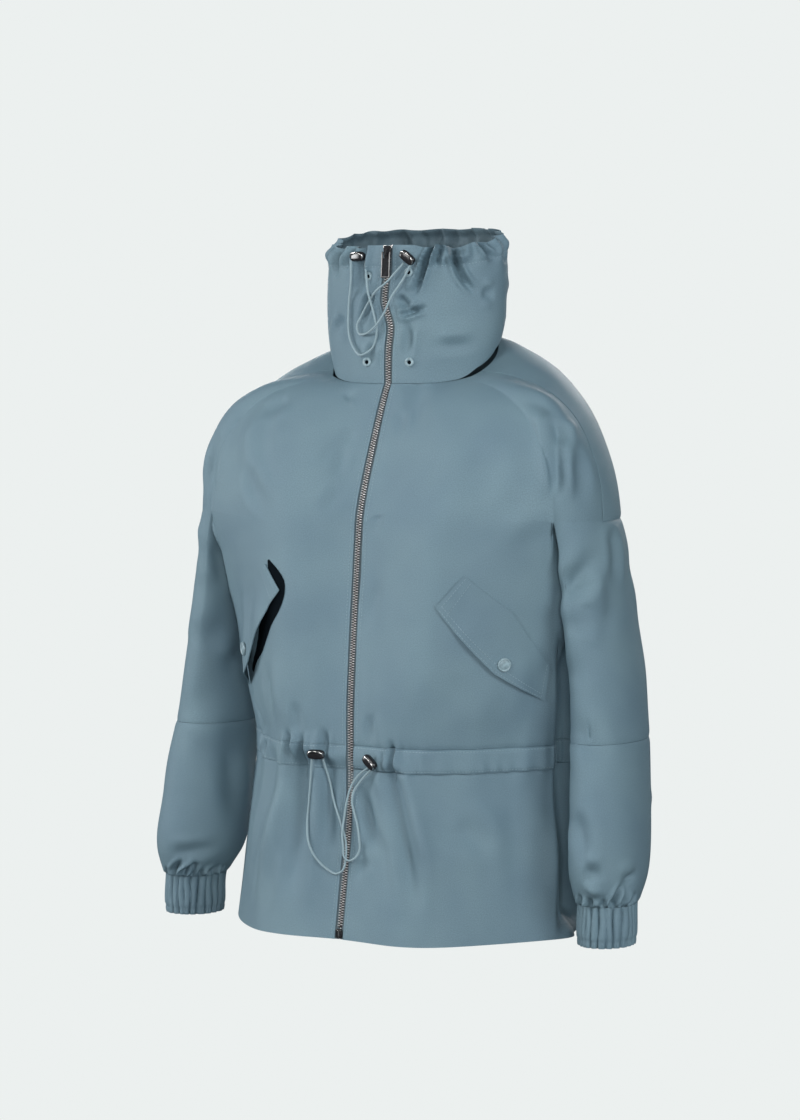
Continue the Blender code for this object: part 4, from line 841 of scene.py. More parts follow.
def armhole_seam(q, z):
    """The armhole seam shows only behind the shoulder seam, as far as the back panel."""
    behind = smooth((q - SHOULDER_SEAM_Q + 0.02) / 0.03) * smooth((2.02 - q) / 0.04)
    return seam_roll(z - ARMHOLE_Z, 0.0012, 0.0024) * behind


def casing_share(q, x):
    """How round the waist casing is: flat on the wearer's right front, full at the back and left."""
    right = FLAT_CASING_SHARE + (1.0 - FLAT_CASING_SHARE) * smooth((q - SIDE_SEAM_Q) / 1.2)
    return np.where(x < 0.0, right, 1.0)


def body_press(q, p, upper):
    """All that presses the body's cloth in; near the armhole the sleeve's creases run on into it."""
    z = p[..., 2]
    if upper:
        near_arm = smooth((q - 0.92) / 0.08) * smooth((2.08 - q) / 0.08)
        seams = armhole_seam(q, z) + seam_roll((q - SHOULDER_SEAM_Q) * 0.2, 0.0004, 0.0010)
    else:
        near_arm = smooth(1.0 - np.abs(q - 1.0) / 0.08) + smooth(1.0 - np.abs(q - 2.0) / 0.08)
        flank = smooth((q - 0.985) / 0.08) * smooth((1.9 - q) / 0.3) * smooth((SIDE_TUCK_Z - z) / 0.06)
        flank = flank * smooth((z - HEM_Z) / 0.03)
        sewn = seam_roll(z - CASING_TOP_Z, 0.0012, 0.0024) + seam_roll(z - CASING_BOTTOM_Z, 0.0012, 0.0024)
        seams = sewn * casing_share(q, p[..., 0]) + SIDE_TUCK * flank
    creases = crease_press(p, BODY_LINES) + crease_press(p, SLEEVE_LINES) * near_arm
    return creases + waist_gathers(q, z) + drift(p) + seams


def armhole_normals(q, side):
    """Normals that the upper body and the sleeve share round the armhole."""
    level = np.full(np.shape(q), ARMHOLE_Z)
    return unit(normals(upper_body, q, 0.0 * q, side) + normals(sleeve, (q - 1.0) / 2.0, level, side))


def body_surface(q, v, upper, side):
    """The body with the change of slope at the armhole level rounded off, clear of the arms."""
    q, v = np.broadcast_arrays(np.asarray(q, float), np.asarray(v, float))
    p = upper_body(q, v, side) if upper else lower_body(q, v, side)
    w = v * UPPER_SPAN if upper else v - ARMHOLE_Z
    clear = 1.0 - smooth((q - 0.90) / 0.10) * smooth((2.10 - q) / 0.10)
    near = smooth((0.10 - np.abs(w)) / 0.05) * clear
    pick = near > 0.0
    if pick.any():
        steps = np.linspace(-1.0, 1.0, 9)
        shares = np.cos(0.5 * math.pi * steps) ** 2
        shares = shares / shares.sum()
        mean = sum(k * body_place(q[pick], w[pick] + LEVEL_EASE * d, side) for k, d in zip(shares, steps))
        p[pick] += (mean - p[pick]) * near[pick][:, None]
    return p


def body_normals(q, v, upper, side):
    """Body normals; round the armhole they are shared with the sleeve."""
    n = normals(lambda a, b, c: body_surface(a, b, upper, c), q, v, side)
    if upper:
        meets = (np.abs(v) < 1e-9) & (q > 1.0) & (q < 2.0)
        n = np.where(meets[..., None], armhole_normals(q, side), n)
    return n


def body_cloth(q, v, upper, side):
    """Points and normals of the body's outer face."""
    p = body_surface(q, v, upper, side)
    n = body_normals(q, v, upper, side)
    press = body_press(q, p, upper)
    if upper:
        press = press * smooth((1.0 - v) / 0.06)
    return p - n * press[..., None], n


def body_grid(qs, vs, upper, side):
    return body_cloth(*np.meshgrid(qs, vs), upper, side)


def casing_cloth(q, z, side):
    """The waist casing: a soft tube whose lower edge overhangs on the wearer's left."""
    p, n = body_cloth(q, z, False, side)
    t = np.clip((z - CASING_BOTTOM_Z) / (CASING_TOP_Z - CASING_BOTTOM_Z), 0.0, 1.0)
    swell = CASING_PUFF * (4.0 * t * (1.0 - t)) ** 0.6 * casing_share(q, side)
    if side > 0.0:
        frill = 1.0 + 0.35 * np.sin(95.0 * q + 3.0 * np.sin(17.0 * q))
        reach = smooth((q - 0.30) / 0.25) * smooth((1.45 - q) / 0.2)
        swell = swell + CASING_OVERHANG * frill * (1.0 - t) ** 2 * reach
    return p + n * swell[..., None], n


def sleeve_press(turn, z, p):
    fade = smooth((z - CUFF_TOP_Z) / 0.004)
    near_body = smooth((z - ARMHOLE_Z + 0.05) / 0.05)
    creases = crease_press(p, SLEEVE_LINES) + crease_press(p, BODY_LINES) * near_body
    at_cuff = smooth((CUFF_TOP_Z + 0.014 - z) / 0.014)
    gathers = 0.35 * CUFF_GATHER_DEPTH * puffs(turn, CUFF_GATHERS, 0.6) * at_cuff
    seams = seam_roll(z - ELBOW_Z) + seam_roll(z - CUFF_TOP_Z, 0.0020, 0.0035)
    outer = 1.0 + 2.0 * turn
    seams = seams + armhole_seam(outer, z) * smooth((2.0 - outer) / 0.04)
    return (creases + drift(p)) * fade + gathers + seams


def cuff_press(turn, z, p):
    share = (z - CUFF_BOTTOM_Z) / (CUFF_TOP_Z - CUFF_BOTTOM_Z)
    barrel = 0.0018 * (2.0 * share - 1.0) ** 2
    swing = 0.0035 * np.sin(5.0 * share + 40.0 * turn)
    strength = 0.75 + 0.30 * np.sin(50.0 * turn + 1.0) + 0.20 * np.sin(6.0 * share + 90.0 * turn)
    valleys = CUFF_GATHER_DEPTH * strength * puffs(turn + swing, CUFF_GATHERS, 0.42)
    fine = 0.0012 * puffs(turn, 2 * CUFF_GATHERS + 1, 0.5) * smooth((0.24 - share) / 0.10)
    hem = seam_roll(share - 0.16, 0.0008, 0.035)
    return valleys + barrel + fine + hem


def sleeve_grid(turns, heights, side, press):
    turn, z = np.meshgrid(turns, heights)
    p = sleeve(turn, z, side)
    n = normals(sleeve, turn, z, side)
    joined = (np.abs(z - ARMHOLE_Z) < 1e-9) & (turn > 0.0) & (turn < 0.5)
    n = np.where(joined[..., None], armhole_normals(1.0 + 2.0 * turn, side), n)
    return p - n * press(turn, z, p)[..., None], n


def slot_lift(degrees):
    """How far the collar's lower edge stands above the neck seam, open at the side and back."""
    around = np.mod(degrees, 360.0)
    away = np.where(around > 180.0, 360.0 - around - SLOT_LATER_RIGHT_DEG, around)
    return SLOT_HEIGHT * smooth((away - SLOT_START_DEG) / (SLOT_FULL_DEG - SLOT_START_DEG))


def rim_waves(degrees):
    """Uneven waves of the gathered rim, from -1 on a crest to 1 in a valley."""
    return np.cos(2.0 * math.pi * RIM_GATHERS * degrees / 360.0 + 1.2 * np.sin(np.radians(3.0 * degrees)))


def clear_of_zip(degrees):
    """0 beside the zip and 1 where the rim is free to gather."""
    around = np.where(degrees > 180.0, degrees - 360.0, degrees)
    return smooth((np.abs(around) - ZIP_CLEAR_DEG) / ZIP_CLEAR_EASE_DEG)


def rim_dip(degrees, h):
    """How far the drawn rim sinks in the valleys of its gathers."""
    valley = 0.5 + 0.5 * rim_waves(degrees)
    front = 0.4 + 0.6 * smooth(0.4 + np.cos(np.radians(degrees)))
    near_rim = smooth((h - RIM_DIP_H) / (1.0 - RIM_DIP_H))
    return RIM_DIP * valley * front * near_rim * clear_of_zip(degrees)


def collar_press(degrees, h, p):
    waves = rim_waves(degrees)
    near_zip = clear_of_zip(degrees)
    casing = smooth((h - RIM_STITCH_H) / 0.03)
    gathers = RIM_GATHER_DEPTH * waves * smooth((h - RIM_GATHER_H) / RIM_GATHER_EASE) * near_zip
    up_casing = np.clip((h - RIM_STITCH_H) / (1.0 - RIM_STITCH_H), 0.0, 1.0)
    swell = -RIM_CASING_PUFF * casing * np.sin(math.pi * up_casing)
    stitched = 0.0006 * np.exp(-(((h - RIM_STITCH_H) / 0.012) ** 2))
    rolled = RIM_ROLL * smooth((h - RIM_ROLL_H) / (1.0 - RIM_ROLL_H)) ** 2 * near_zip
    folds = crease_press(p, COLLAR_LINES) + gathers
    return (folds + swell + stitched + rolled + 0.5 * drift(p)) * smooth(h / 0.05)


def collar_cloth(degrees, h):
    """Points and normals of the collar's outer face, folds and gathers included."""
    n = normals(collar, degrees, h, du=0.05)
    p = collar(degrees, h)
    made = p - n * collar_press(degrees, h, p)[..., None]
    made[..., 2] -= rim_dip(degrees, h)
    return made, n


def collar_grid(degrees, shares, low, high):
    """Collar cloth between two heights above the neck seam, given as functions of the place."""
    around, share = np.meshgrid(degrees, shares)
    tall = np.linalg.norm(collar(around, 1.0 + 0.0 * around) - collar(around, 0.0 * around), axis=-1)
    h = (low(around) + (high(around, tall) - low(around)) * share) / tall
    return collar_cloth(around, h)


def q_at(x, z, side):
    """The place along a front's level that lies at a given distance from the centre line."""
    low = np.zeros(np.shape(x))
    high = low + 1.3
    for _ in range(24):
        middle = (low + high) / 2.0
        inside = side * lower_body(middle, z, side)[..., 0] < x
        low = np.where(inside, middle, low)
        high = np.where(inside, high, middle)
    return (low + high) / 2.0


def on_front(x, z):
    """The outer cloth at a sideways place and height: point and outward normal."""
    side = -1.0 if x < 0.0 else 1.0
    if z <= NECK_FRONT_Z:
        z = np.array([z])
        p, n = body_cloth(q_at(np.array([abs(x)]), z, side), z, False, side)
        return p[0], n[0]
    h = np.array([0.5])
    for _ in range(6):
        half_width = through(COLLAR["h"], COLLAR["half_width"], h)
        degrees = np.degrees(np.arcsin(np.clip(x / half_width, -0.99, 0.99)))
        foot = collar(degrees, 0.0 * h)[0, 2]
        top = collar(degrees, 0.0 * h + 1.0)[0, 2]
        h = np.array([(z - foot) / (top - foot)])
    p, n = collar_cloth(degrees, h)
    return p[0], n[0]


# Materials


def new_material(name):
    made = bpy.data.materials.new(name)
    made.use_nodes = True
    return made, made.node_tree.nodes, made.node_tree.links


def node(nodes, kind, **values):
    made = nodes.new(kind)
    for name, value in values.items():
        key = name.replace("_", " ").title()
        if key in made.inputs:
            made.inputs[key].default_value = value
        else:
            setattr(made, name, value)
    return made


def tone(nodes, links, fac, dark, light, low=0.35, high=0.65):
    """A colour ramp between two tones of one colour."""
    ramp = nodes.new("ShaderNodeValToRGB")
    ramp.color_ramp.elements[0].position = low
    ramp.color_ramp.elements[1].position = high
    ramp.color_ramp.elements[0].color = (*dark, 1.0)
    ramp.color_ramp.elements[1].color = (*light, 1.0)
    links.new(fac, ramp.inputs["Fac"])
    return ramp.outputs["Color"]


def add_bump(nodes, links, height, strength, distance):
    """Lets a pattern raise the surface of a material."""
    raised = node(nodes, "ShaderNodeBump", strength=strength, distance=distance)
    links.new(height, raised.inputs["Height"])
    links.new(raised.outputs["Normal"], nodes["Principled BSDF"].inputs["Normal"])


def shade(colour, factor):
    return tuple(channel * factor for channel in colour)


def weave_material(name, colour, thread=0.00055, bump=0.35, sheen=0.10, roughness=0.62, gloss=0.35):
    """Plain-woven cloth: threads over and under, slubs, and slow changes of tone."""
    made, nodes, links = new_material(name)
    shader = nodes["Principled BSDF"]
    uv = nodes.new("ShaderNodeUVMap")
    wave_scale = 0.314 / thread
    warp = node(nodes, "ShaderNodeTexWave", scale=wave_scale, distortion=0.6, bands_direction="X")
    weft = node(nodes, "ShaderNodeTexWave", scale=wave_scale, distortion=0.6, bands_direction="Y")
    slub = node(nodes, "ShaderNodeTexNoise", scale=900.0, detail=3.0)
    slow = node(nodes, "ShaderNodeTexNoise", scale=14.0, detail=2.0)
    for texture in (warp, weft, slub):
        links.new(uv.outputs["UV"], texture.inputs["Vector"])
    place = nodes.new("ShaderNodeTexCoord")
    links.new(place.outputs["Object"], slow.inputs["Vector"])
    cross = node(nodes, "ShaderNodeMath", operation="ADD")
    links.new(warp.outputs["Fac"], cross.inputs[0])
    links.new(weft.outputs["Fac"], cross.inputs[1])
    height = node(nodes, "ShaderNodeMath", operation="ADD")
    links.new(cross.outputs["Value"], height.inputs[0])
    links.new(slub.outputs["Fac"], height.inputs[1])
    fine = tone(nodes, links, slub.outputs["Fac"], shade(colour, 0.90), shade(colour, 1.09))
    broad = tone(nodes, links, slow.outputs["Fac"], (0.92, 0.93, 0.95), (1.06, 1.05, 1.03))
    mix = node(nodes, "ShaderNodeMix", data_type="RGBA", blend_type="MULTIPLY")
    mix.inputs["Factor"].default_value = 1.0
    links.new(fine, mix.inputs["A"])
    links.new(broad, mix.inputs["B"])
    links.new(mix.outputs["Result"], shader.inputs["Base Color"])
    add_bump(nodes, links, height.outputs["Value"], bump, 0.00025)
    shader.inputs["Roughness"].default_value = roughness
    shader.inputs["Sheen Weight"].default_value = sheen
    shader.inputs["Sheen Roughness"].default_value = 0.40
    shader.inputs["Sheen Tint"].default_value = (*shade(colour, 3.0), 1.0)
    shader.inputs["Specular IOR Level"].default_value = gloss
    return made


def hard_material(name, colour, roughness, metallic=1.0, scale=320.0):
    """Cast metal or lacquer: fine unevenness and worn tone."""
    made, nodes, links = new_material(name)
    shader = nodes["Principled BSDF"]
    place = nodes.new("ShaderNodeTexCoord")
    grain = node(nodes, "ShaderNodeTexNoise", scale=scale, detail=3.0)
    links.new(place.outputs["Object"], grain.inputs["Vector"])
    links.new(
        tone(nodes, links, grain.outputs["Fac"], shade(colour, 0.75), shade(colour, 1.20)),
        shader.inputs["Base Color"],
    )
    spread_out = node(nodes, "ShaderNodeMapRange")
    spread_out.inputs["To Min"].default_value = roughness * 0.75
    spread_out.inputs["To Max"].default_value = roughness * 1.25
    links.new(grain.outputs["Fac"], spread_out.inputs["Value"])
    links.new(spread_out.outputs["Result"], shader.inputs["Roughness"])
    add_bump(nodes, links, grain.outputs["Fac"], 0.12, 0.0002)
    shader.inputs["Metallic"].default_value = metallic
    return made


def cord_material(name, colour):
    """Braided cord: slanted strands."""
    made, nodes, links = new_material(name)
    shader = nodes["Principled BSDF"]
    place = nodes.new("ShaderNodeTexCoord")
    braid = node(nodes, "ShaderNodeTexWave", scale=260.0, distortion=1.5, bands_direction="DIAGONAL")
    links.new(place.outputs["Object"], braid.inputs["Vector"])
    links.new(
        tone(nodes, links, braid.outputs["Fac"], shade(colour, 0.86), shade(colour, 1.10)),
        shader.inputs["Base Color"],
    )
    add_bump(nodes, links, braid.outputs["Fac"], 0.4, 0.0002)
    shader.inputs["Roughness"].default_value = 0.70
    shader.inputs["Sheen Weight"].default_value = 0.2
    return made


LOOKS = {
    "cloth": weave_material("shell_cloth", CLOTH_COLOUR),
    # The cloth darkened for inner faces: painted shade.
    "inside": weave_material("shell_cloth_inside", shade(CLOTH_COLOUR, INSIDE_PAINTED_SHADE), sheen=0.0),
    # Near-black, without gloss or sheen, for the shade under the right flap and in the eyelets: painted
    # shadow.
    "pocket": weave_material("painted_shadow_cloth", PAINTED_SHADOW_COLOUR, sheen=0.0, roughness=0.95, gloss=0.0),
    # Near-black strip under the zip's teeth: painted shade in the gaps.
    "teeth_shadow": weave_material("zip_teeth_shadow", TEETH_SHADOW_COLOUR, thread=0.0009, bump=0.6, sheen=0.0),
    "tape": weave_material("zip_tape_cloth", TAPE_COLOUR, thread=0.0009, bump=0.6, sheen=0.1),
    "cord": cord_material("drawcord", CORD_COLOUR),
    "thread": cord_material("thread", THREAD_COLOUR),
    "steel": hard_material("zip_steel", STEEL_COLOUR, 0.36, metallic=0.35),
    "bright": hard_material("bright_steel", BRIGHT_COLOUR, 0.24),
    "pewter": hard_material("pewter", PEWTER_COLOUR, 0.34, metallic=0.6),
    "lacquer": hard_material("lacquer", LACQUER_COLOUR, 0.40, metallic=0.0),
    "black": hard_material("black_lacquer", BLACK_COLOUR, 0.22, metallic=0.0),
}


# Meshes


def spread(*stops):
    """Places along a line: (from, to, cells) stretches joined end to end."""
    parts = [np.linspace(start, end, max(int(cells), 1) + 1) for start, end, cells in stops]
    return np.concatenate([parts[0]] + [part[1:] for part in parts[1:]])


def link(name, mesh, look):
    made = bpy.data.objects.new(name, mesh)
    mesh.materials.append(LOOKS[look])
    bpy.context.scene.collection.objects.link(made)
    return made


def declare(piece, body, slot, *nodes_replaced):
    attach(piece, body)
    if nodes_replaced:
        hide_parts(*nodes_replaced)
    return piece


def grid_uv(p):
    """Cloth coordinates in metres: length along the middle row and the middle column."""
    rows, columns = p.shape[:2]
    u = run_length(p[rows // 2])
    v = run_length(p[:, columns // 2])
    return np.stack(np.meshgrid(u, v), axis=-1)


def weld(grids):
    """Joins grids of points where their rows or columns share the same places."""
    p = np.concatenate([g[0].reshape(-1, 3) for g in grids])
    n = np.concatenate([g[1].reshape(-1, 3) for g in grids])
    uv = np.concatenate([grid_uv(g[0]).reshape(-1, 2) for g in grids])
    _, first, index = np.unique(np.round(p, 6) + 0.0, axis=0, return_index=True, return_inverse=True)
    index = index.reshape(-1)
    norms = np.zeros((len(first), 3))
    np.add.at(norms, index, n)
    corners = []
    offset = 0
    for g in grids:
        rows, columns = g[0].shape[:2]
        ids = offset + np.arange(rows * columns).reshape(rows, columns)
        cells = np.stack([ids[:-1, :-1], ids[:-1, 1:], ids[1:, 1:], ids[1:, :-1]], -1)
        corners.append(cells.reshape(-1, 4))
        offset += rows * columns
    corners = np.concatenate(corners)
    return p[first], unit(norms), index[corners], uv[corners]


def shell(name, grids, thickness=CLOTH_THICKNESS, outset=0.0, look="cloth"):
    """A thin cloth shell: outer face, inner face and the rim between them, with cloth coordinates."""
    verts, norms, quads, quad_uv = weld(grids)
    outer = verts + norms * outset
    count = len(verts)
    sides = np.concatenate([quads[:, [i, (i + 1) % 4]] for i in range(4)])
    side_uv = np.concatenate([quad_uv[:, [i, (i + 1) % 4]] for i in range(4)])
    _, first, times = np.unique(np.sort(sides, axis=1), axis=0, return_index=True, return_counts=True)
    edge = sides[first[times == 1]]
    edge_uv = side_uv[first[times == 1]]
    rim = np.stack([edge[:, 1], edge[:, 0], edge[:, 0] + count, edge[:, 1] + count], axis=-1)
    rim_uv = edge_uv[:, [1, 0, 0, 1]]
    faces = np.concatenate([quads, quads[:, ::-1] + count, rim])
    uv = np.concatenate([quad_uv, quad_uv[:, ::-1], rim_uv])
    mesh = bpy.data.meshes.new(name)
    mesh.from_pydata(np.concatenate([outer, outer - norms * thickness]).tolist(), [], faces.tolist())
    layer = mesh.uv_layers.new(name="UVMap")
    layer.data.foreach_set("uv", uv.reshape(-1).astype(np.float32))
    mesh.shade_smooth()
    mesh.set_sharp_from_angle(angle=math.radians(SHARP_CLOTH_DEG))
    piece = link(name, mesh, look)
    # Cloth shells give their inner faces the darkened copy of the cloth: painted shade.
    if look == "cloth":
        mesh.materials.append(LOOKS["inside"])
        inner = np.zeros(len(faces), np.int32)
        inner[len(quads) : 2 * len(quads)] = 1
        mesh.polygons.foreach_set("material_index", inner)
    return piece


def cloth_piece(name, cut, grids, rests_on, held="hung", **how):
    piece = declare(shell(name, grids, **how), "garment", "shell_cloth", name.removesuffix("_shell"))
    return piece


def build_camera():
    azimuth = math.radians(CAMERA_AZIMUTH)
    elevation = math.radians(CAMERA_ELEVATION)
    level = math.cos(elevation)
    forward = Vector((-math.sin(azimuth) * level, math.cos(azimuth) * level, -math.sin(elevation)))
    data = bpy.data.cameras.new("camera")
    data.sensor_fit = "VERTICAL"
    data.sensor_height = SENSOR
    data.lens = FOCAL_PIXELS / PHOTO_HEIGHT * SENSOR
    data.clip_end = CAMERA_REACH
    camera = bpy.data.objects.new("camera", data)
    camera.location = LOOK_AT - forward * CAMERA_DISTANCE
    camera.rotation_euler = forward.to_track_quat("-Z", "Y").to_euler()
    bpy.context.scene.collection.objects.link(camera)
    bpy.context.scene.camera = camera


def area_light(name, place, size, power, colour):
    data = bpy.data.lights.new(name, "AREA")
    data.shape = "SQUARE"
    data.size = size
    data.energy = power
    data.color = colour
    lamp = bpy.data.objects.new(name, data)
    lamp.location = place
    aim = LOOK_AT - Vector(place)
    lamp.rotation_euler = aim.to_track_quat("-Z", "Y").to_euler()
    bpy.context.scene.collection.objects.link(lamp)


def build_stage():
    scene = bpy.context.scene
    scene.view_settings.view_transform = "Standard"
    world = bpy.data.worlds.new("studio")
    world.use_nodes = True
    world.node_tree.nodes["Background"].inputs["Color"].default_value = (*BACKGROUND, 1.0)
    world.node_tree.nodes["Background"].inputs["Strength"].default_value = ROOM_LIGHT
    scene.world = world
    made, nodes, _ = new_material("studio_paint")
    shader = nodes["Principled BSDF"]
    shader.inputs["Base Color"].default_value = (0.0, 0.0, 0.0, 1.0)
    shader.inputs["Specular IOR Level"].default_value = 0.0
    shader.inputs["Emission Color"].default_value = (*BACKGROUND, 1.0)
    shader.inputs["Emission Strength"].default_value = 1.0
    for name in ("floor", "backdrop"):
        bm = bmesh.new()
        if name == "floor":
            bmesh.ops.create_circle(bm, cap_ends=True, radius=STUDIO_RADIUS, segments=96)
        else:
            bmesh.ops.create_uvsphere(bm, u_segments=64, v_segments=32, radius=STUDIO_RADIUS)
        mesh = bpy.data.meshes.new(name)
        bm.to_mesh(mesh)
        bm.free()
        mesh.materials.append(made)
        paper = bpy.data.objects.new(name, mesh)
        paper.location.z = FLOOR_Z
        paper.visible_diffuse = False
        paper.visible_glossy = False
        paper.visible_shadow = False
        scene.collection.objects.link(paper)
    for name, (place, size, power, colour) in LAMPS.items():
        area_light(name, place, size, power, colour)


def build_cords():
    half = CORD_DIAMETER / 2.0
    for name, rows in CORDS.items():
        pairs = [on_front(x, z) for x, z in zip(rows["x"], rows["z"])]
        stops = np.array([p + n * (lift + half) for (p, n), lift in zip(pairs, rows["lift"])])
        lengths = run_length(stops)
        count = 4 * len(stops)
        at = np.linspace(0.0, lengths[-1], count)
        curve = bpy.data.curves.new(f"{name}_braid", "CURVE")
        curve.dimensions = "3D"
        curve.bevel_depth = half
        curve.bevel_resolution = 3
        curve.use_fill_caps = True
        line = curve.splines.new("POLY")
        line.points.add(count - 1)
        route = np.stack([through(lengths, stops[:, axis], at) for axis in range(3)], axis=-1)
        for point, place in zip(line.points, route):
            point.co = (*place, 1.0)
        line.use_smooth = True
        piece = declare(link(f"{name}_braid", curve, "cord"), "garment", "cord", name)


def ray_rows(cells):
    return spread((0.0, 0.60, 0.55 * cells), (0.60, 0.90, 0.30 * cells), (0.90, NECK_END_R, 0.15 * cells))


def half_body(side, front):
    """The body from neck seam to waist casing, front or back, on one side."""
    heights = spread((CASING_TOP_Z + GAP, ARMHOLE_Z, 0.237 / CELL))
    rays = ray_rows(0.24 / CELL)
    if front:
        shared = spread((FRONT_EDGE_Q, 0.10, 8), (0.10, 1.0, 0.20 / CELL))
        seam = SHOULDER_SEAM_Q - SHOULDER_GAP_Q
        arm = spread((1.0, seam - 0.02, 0.095 / CELL), (seam - 0.02, seam, 6))
        flank = spread((1.0, SIDE_SEAM_Q - SEAM_Q, 0.08 / CELL))
    else:
        shared = spread((2.0, CENTRE_BACK_Q, 0.21 / CELL))
        seam = SHOULDER_SEAM_Q + SHOULDER_GAP_Q
        arm = spread((seam, seam + 0.02, 6), (seam + 0.02, 2.0, 0.12 / CELL))
        flank = spread((SIDE_SEAM_Q + SEAM_Q, 2.0, 0.08 / CELL))
    return [
        body_grid(shared, rays, True, side),
        body_grid(arm, rays, True, side),
        body_grid(shared, heights, False, side),
        body_grid(flank, heights, False, side),
    ]


def build_body():
    for side, word in SIDES:
        cloth_piece(f"front_{word}_shell", "front", half_body(side, True), ["back"])
    cloth_piece("back_shell", "back", half_body(-1.0, False) + half_body(1.0, False), ["front_left"])
    heights = spread((HEM_Z, CASING_BOTTOM_Z - GAP, 0.176 / CELL))
    band = spread((CASING_BOTTOM_Z, CASING_TOP_Z, 14))
    front = spread((FRONT_EDGE_Q, 1.0, 0.24 / CELL), (1.0, SIDE_SEAM_Q - SEAM_Q, 0.06 / CELL))
    back = spread((SIDE_SEAM_Q + SEAM_Q, 2.0, 0.06 / CELL), (2.0, CENTRE_BACK_Q, 0.21 / CELL))
    front_band = spread((FRONT_EDGE_Q, 1.0, 0.40 / CELL), (1.0, SIDE_SEAM_Q - SEAM_Q, 0.06 / CELL))
    for side, word in SIDES:
        cloth_piece(
            f"skirt_front_{word}_shell",
            "skirt_front",
            [body_grid(front, heights, False, side)],
            [f"waist_casing_{word}"],
        )
        cloth_piece(
            f"waist_casing_{word}_shell",
            "waist_casing",
            [casing_cloth(*np.meshgrid(front_band, band), side)],
            [f"front_{word}"],
            "gathered",
        )
    both = [body_grid(back, heights, False, side) for side, _ in SIDES]
    cloth_piece("skirt_back_shell", "skirt_back", both, ["waist_casing_back"])
    both = [casing_cloth(*np.meshgrid(back, band), side) for side, _ in SIDES]
    cloth_piece("waist_casing_back_shell", "waist_casing_back", both, ["back"], "gathered")


def build_sleeves():
    upper = spread((ELBOW_Z + GAP / 2.0, ARMHOLE_Z, 0.227 / CELL))
    lower = spread(
        (CUFF_TOP_Z + GAP, CUFF_GATHER_TOP_Z, 0.032 / CELL * 1.5),
        (CUFF_GATHER_TOP_Z, ELBOW_Z - GAP / 2.0, 0.135 / CELL),
    )
    cuff = spread((CUFF_BOTTOM_Z, CUFF_TOP_Z, 22))
    round_sleeve = spread((0, 1, 0.36 / CELL))
    round_lower = spread((0, 1, 8 * CUFF_GATHERS))
    round_cuff = spread((0, 1, 14 * CUFF_GATHERS))
    for side, word in SIDES:
        grid = sleeve_grid(round_sleeve, upper, side, sleeve_press)
        cloth_piece(f"sleeve_upper_{word}_shell", "sleeve_upper", [grid], [f"front_{word}"])
        grid = sleeve_grid(round_lower, lower, side, sleeve_press)
        cloth_piece(f"sleeve_lower_{word}_shell", "sleeve_lower", [grid], [f"sleeve_upper_{word}"])
        grid = sleeve_grid(round_cuff, cuff, side, cuff_press)
        cloth_piece(
            f"cuff_{word}_shell",
            "cuff",
            [grid],
            [f"sleeve_lower_{word}"],
            "gathered",
            thickness=CUFF_THICKNESS,
        )


def build_collar():
    around = spread(
        (COLLAR_EDGE_DEG, TAPE_OUTER_DEG, 7),
        (TAPE_OUTER_DEG, 360.0 - TAPE_OUTER_DEG, 0.56 / COLLAR_CELL),
        (360.0 - TAPE_OUTER_DEG, 360.0 - COLLAR_EDGE_DEG, 7),
    )
    full = collar_grid(around, spread((0, 1, 80)), lambda d: GAP + slot_lift(d), lambda d, tall: tall)
    cloth_piece("collar_shell", "collar", [full], ["front_left", "front_right", "back"], "gathered")
    behind = spread((SLOT_START_DEG + 8.0, 365.0 - SLOT_START_DEG - SLOT_LATER_RIGHT_DEG, 150))
    strip = collar_grid(
        behind,
        spread((0, 1, 8)),
        lambda d: 0.004 + 0.0 * d,
        lambda d, tall: slot_lift(d) + WELT_BELOW_COLLAR,
    )
    cloth_piece("collar_slot_welt_shell", "collar_slot_welt", [strip], ["back"], outset=-(WALL + 3.0 * GAP))


def flap_place(along, across, side):
    """A flap's outline coordinates as sideways place and height; the right one sits nearer the zip."""
    row = straight(FLAP, "along", along)
    shift_x, shift_z = FLAP_RIGHT_SHIFT if side < 0.0 else (0.0, 0.0)
    if side < 0.0:
        edge = FLAP_REACH * smooth((along - 0.35) / 0.3) - FLAP_CORNER * np.exp(-((along / 0.22) ** 2))
        across = across + edge * smooth((across - 0.80) / 0.20)
    x = row["sewn_x"] + (row["free_x"] - row["sewn_x"]) * across + shift_x
    z = row["sewn_z"] + (row["free_z"] - row["sewn_z"]) * across + shift_z
    return x, z


def flap_grid(along, across, side, lift):
    """Flap cloth: the front's points moved out, standing off at the free edge."""
    x, z = flap_place(along, across, side)
    p, n = body_cloth(q_at(x, z, side), z, False, side)
    raised = lift * smooth(across) * smooth(np.minimum(along, 1.0 - along) * 3.0)
    dent = FLAP_DENT * np.exp(-(((along - 0.16) / 0.06) ** 2)) * smooth(across)
    off = WALL + FLAP_SEAT + raised - dent
    return p + n * off[..., None], n


def build_flaps():
    along, across = np.meshgrid(spread((0, 1, 60)), spread((0, 1, 24)))
    for side, word, lift in FLAPS:
        grid = flap_grid(along, across, side, lift)
        cloth_piece(f"pocket_flap_{word}_shell", "pocket_flap", [grid], [f"front_{word}"])
    # A near-black sheet on the front under the right flap's free edge: painted shadow.
    row = look_up(MOUTH, "along", along)
    q = row["inner_q"] + (row["outer_q"] - row["inner_q"]) * across
    z = row["inner_z"] + (row["outer_z"] - row["inner_z"]) * across
    grid = body_cloth(q, z, False, -1.0)
    mouth = shell("pocket_mouth_right_painted_shadow", [grid], MOUTH_THICKNESS, MOUTH_LIFT, "pocket")
    declare(mouth, "garment", "shell_cloth")


# Zip


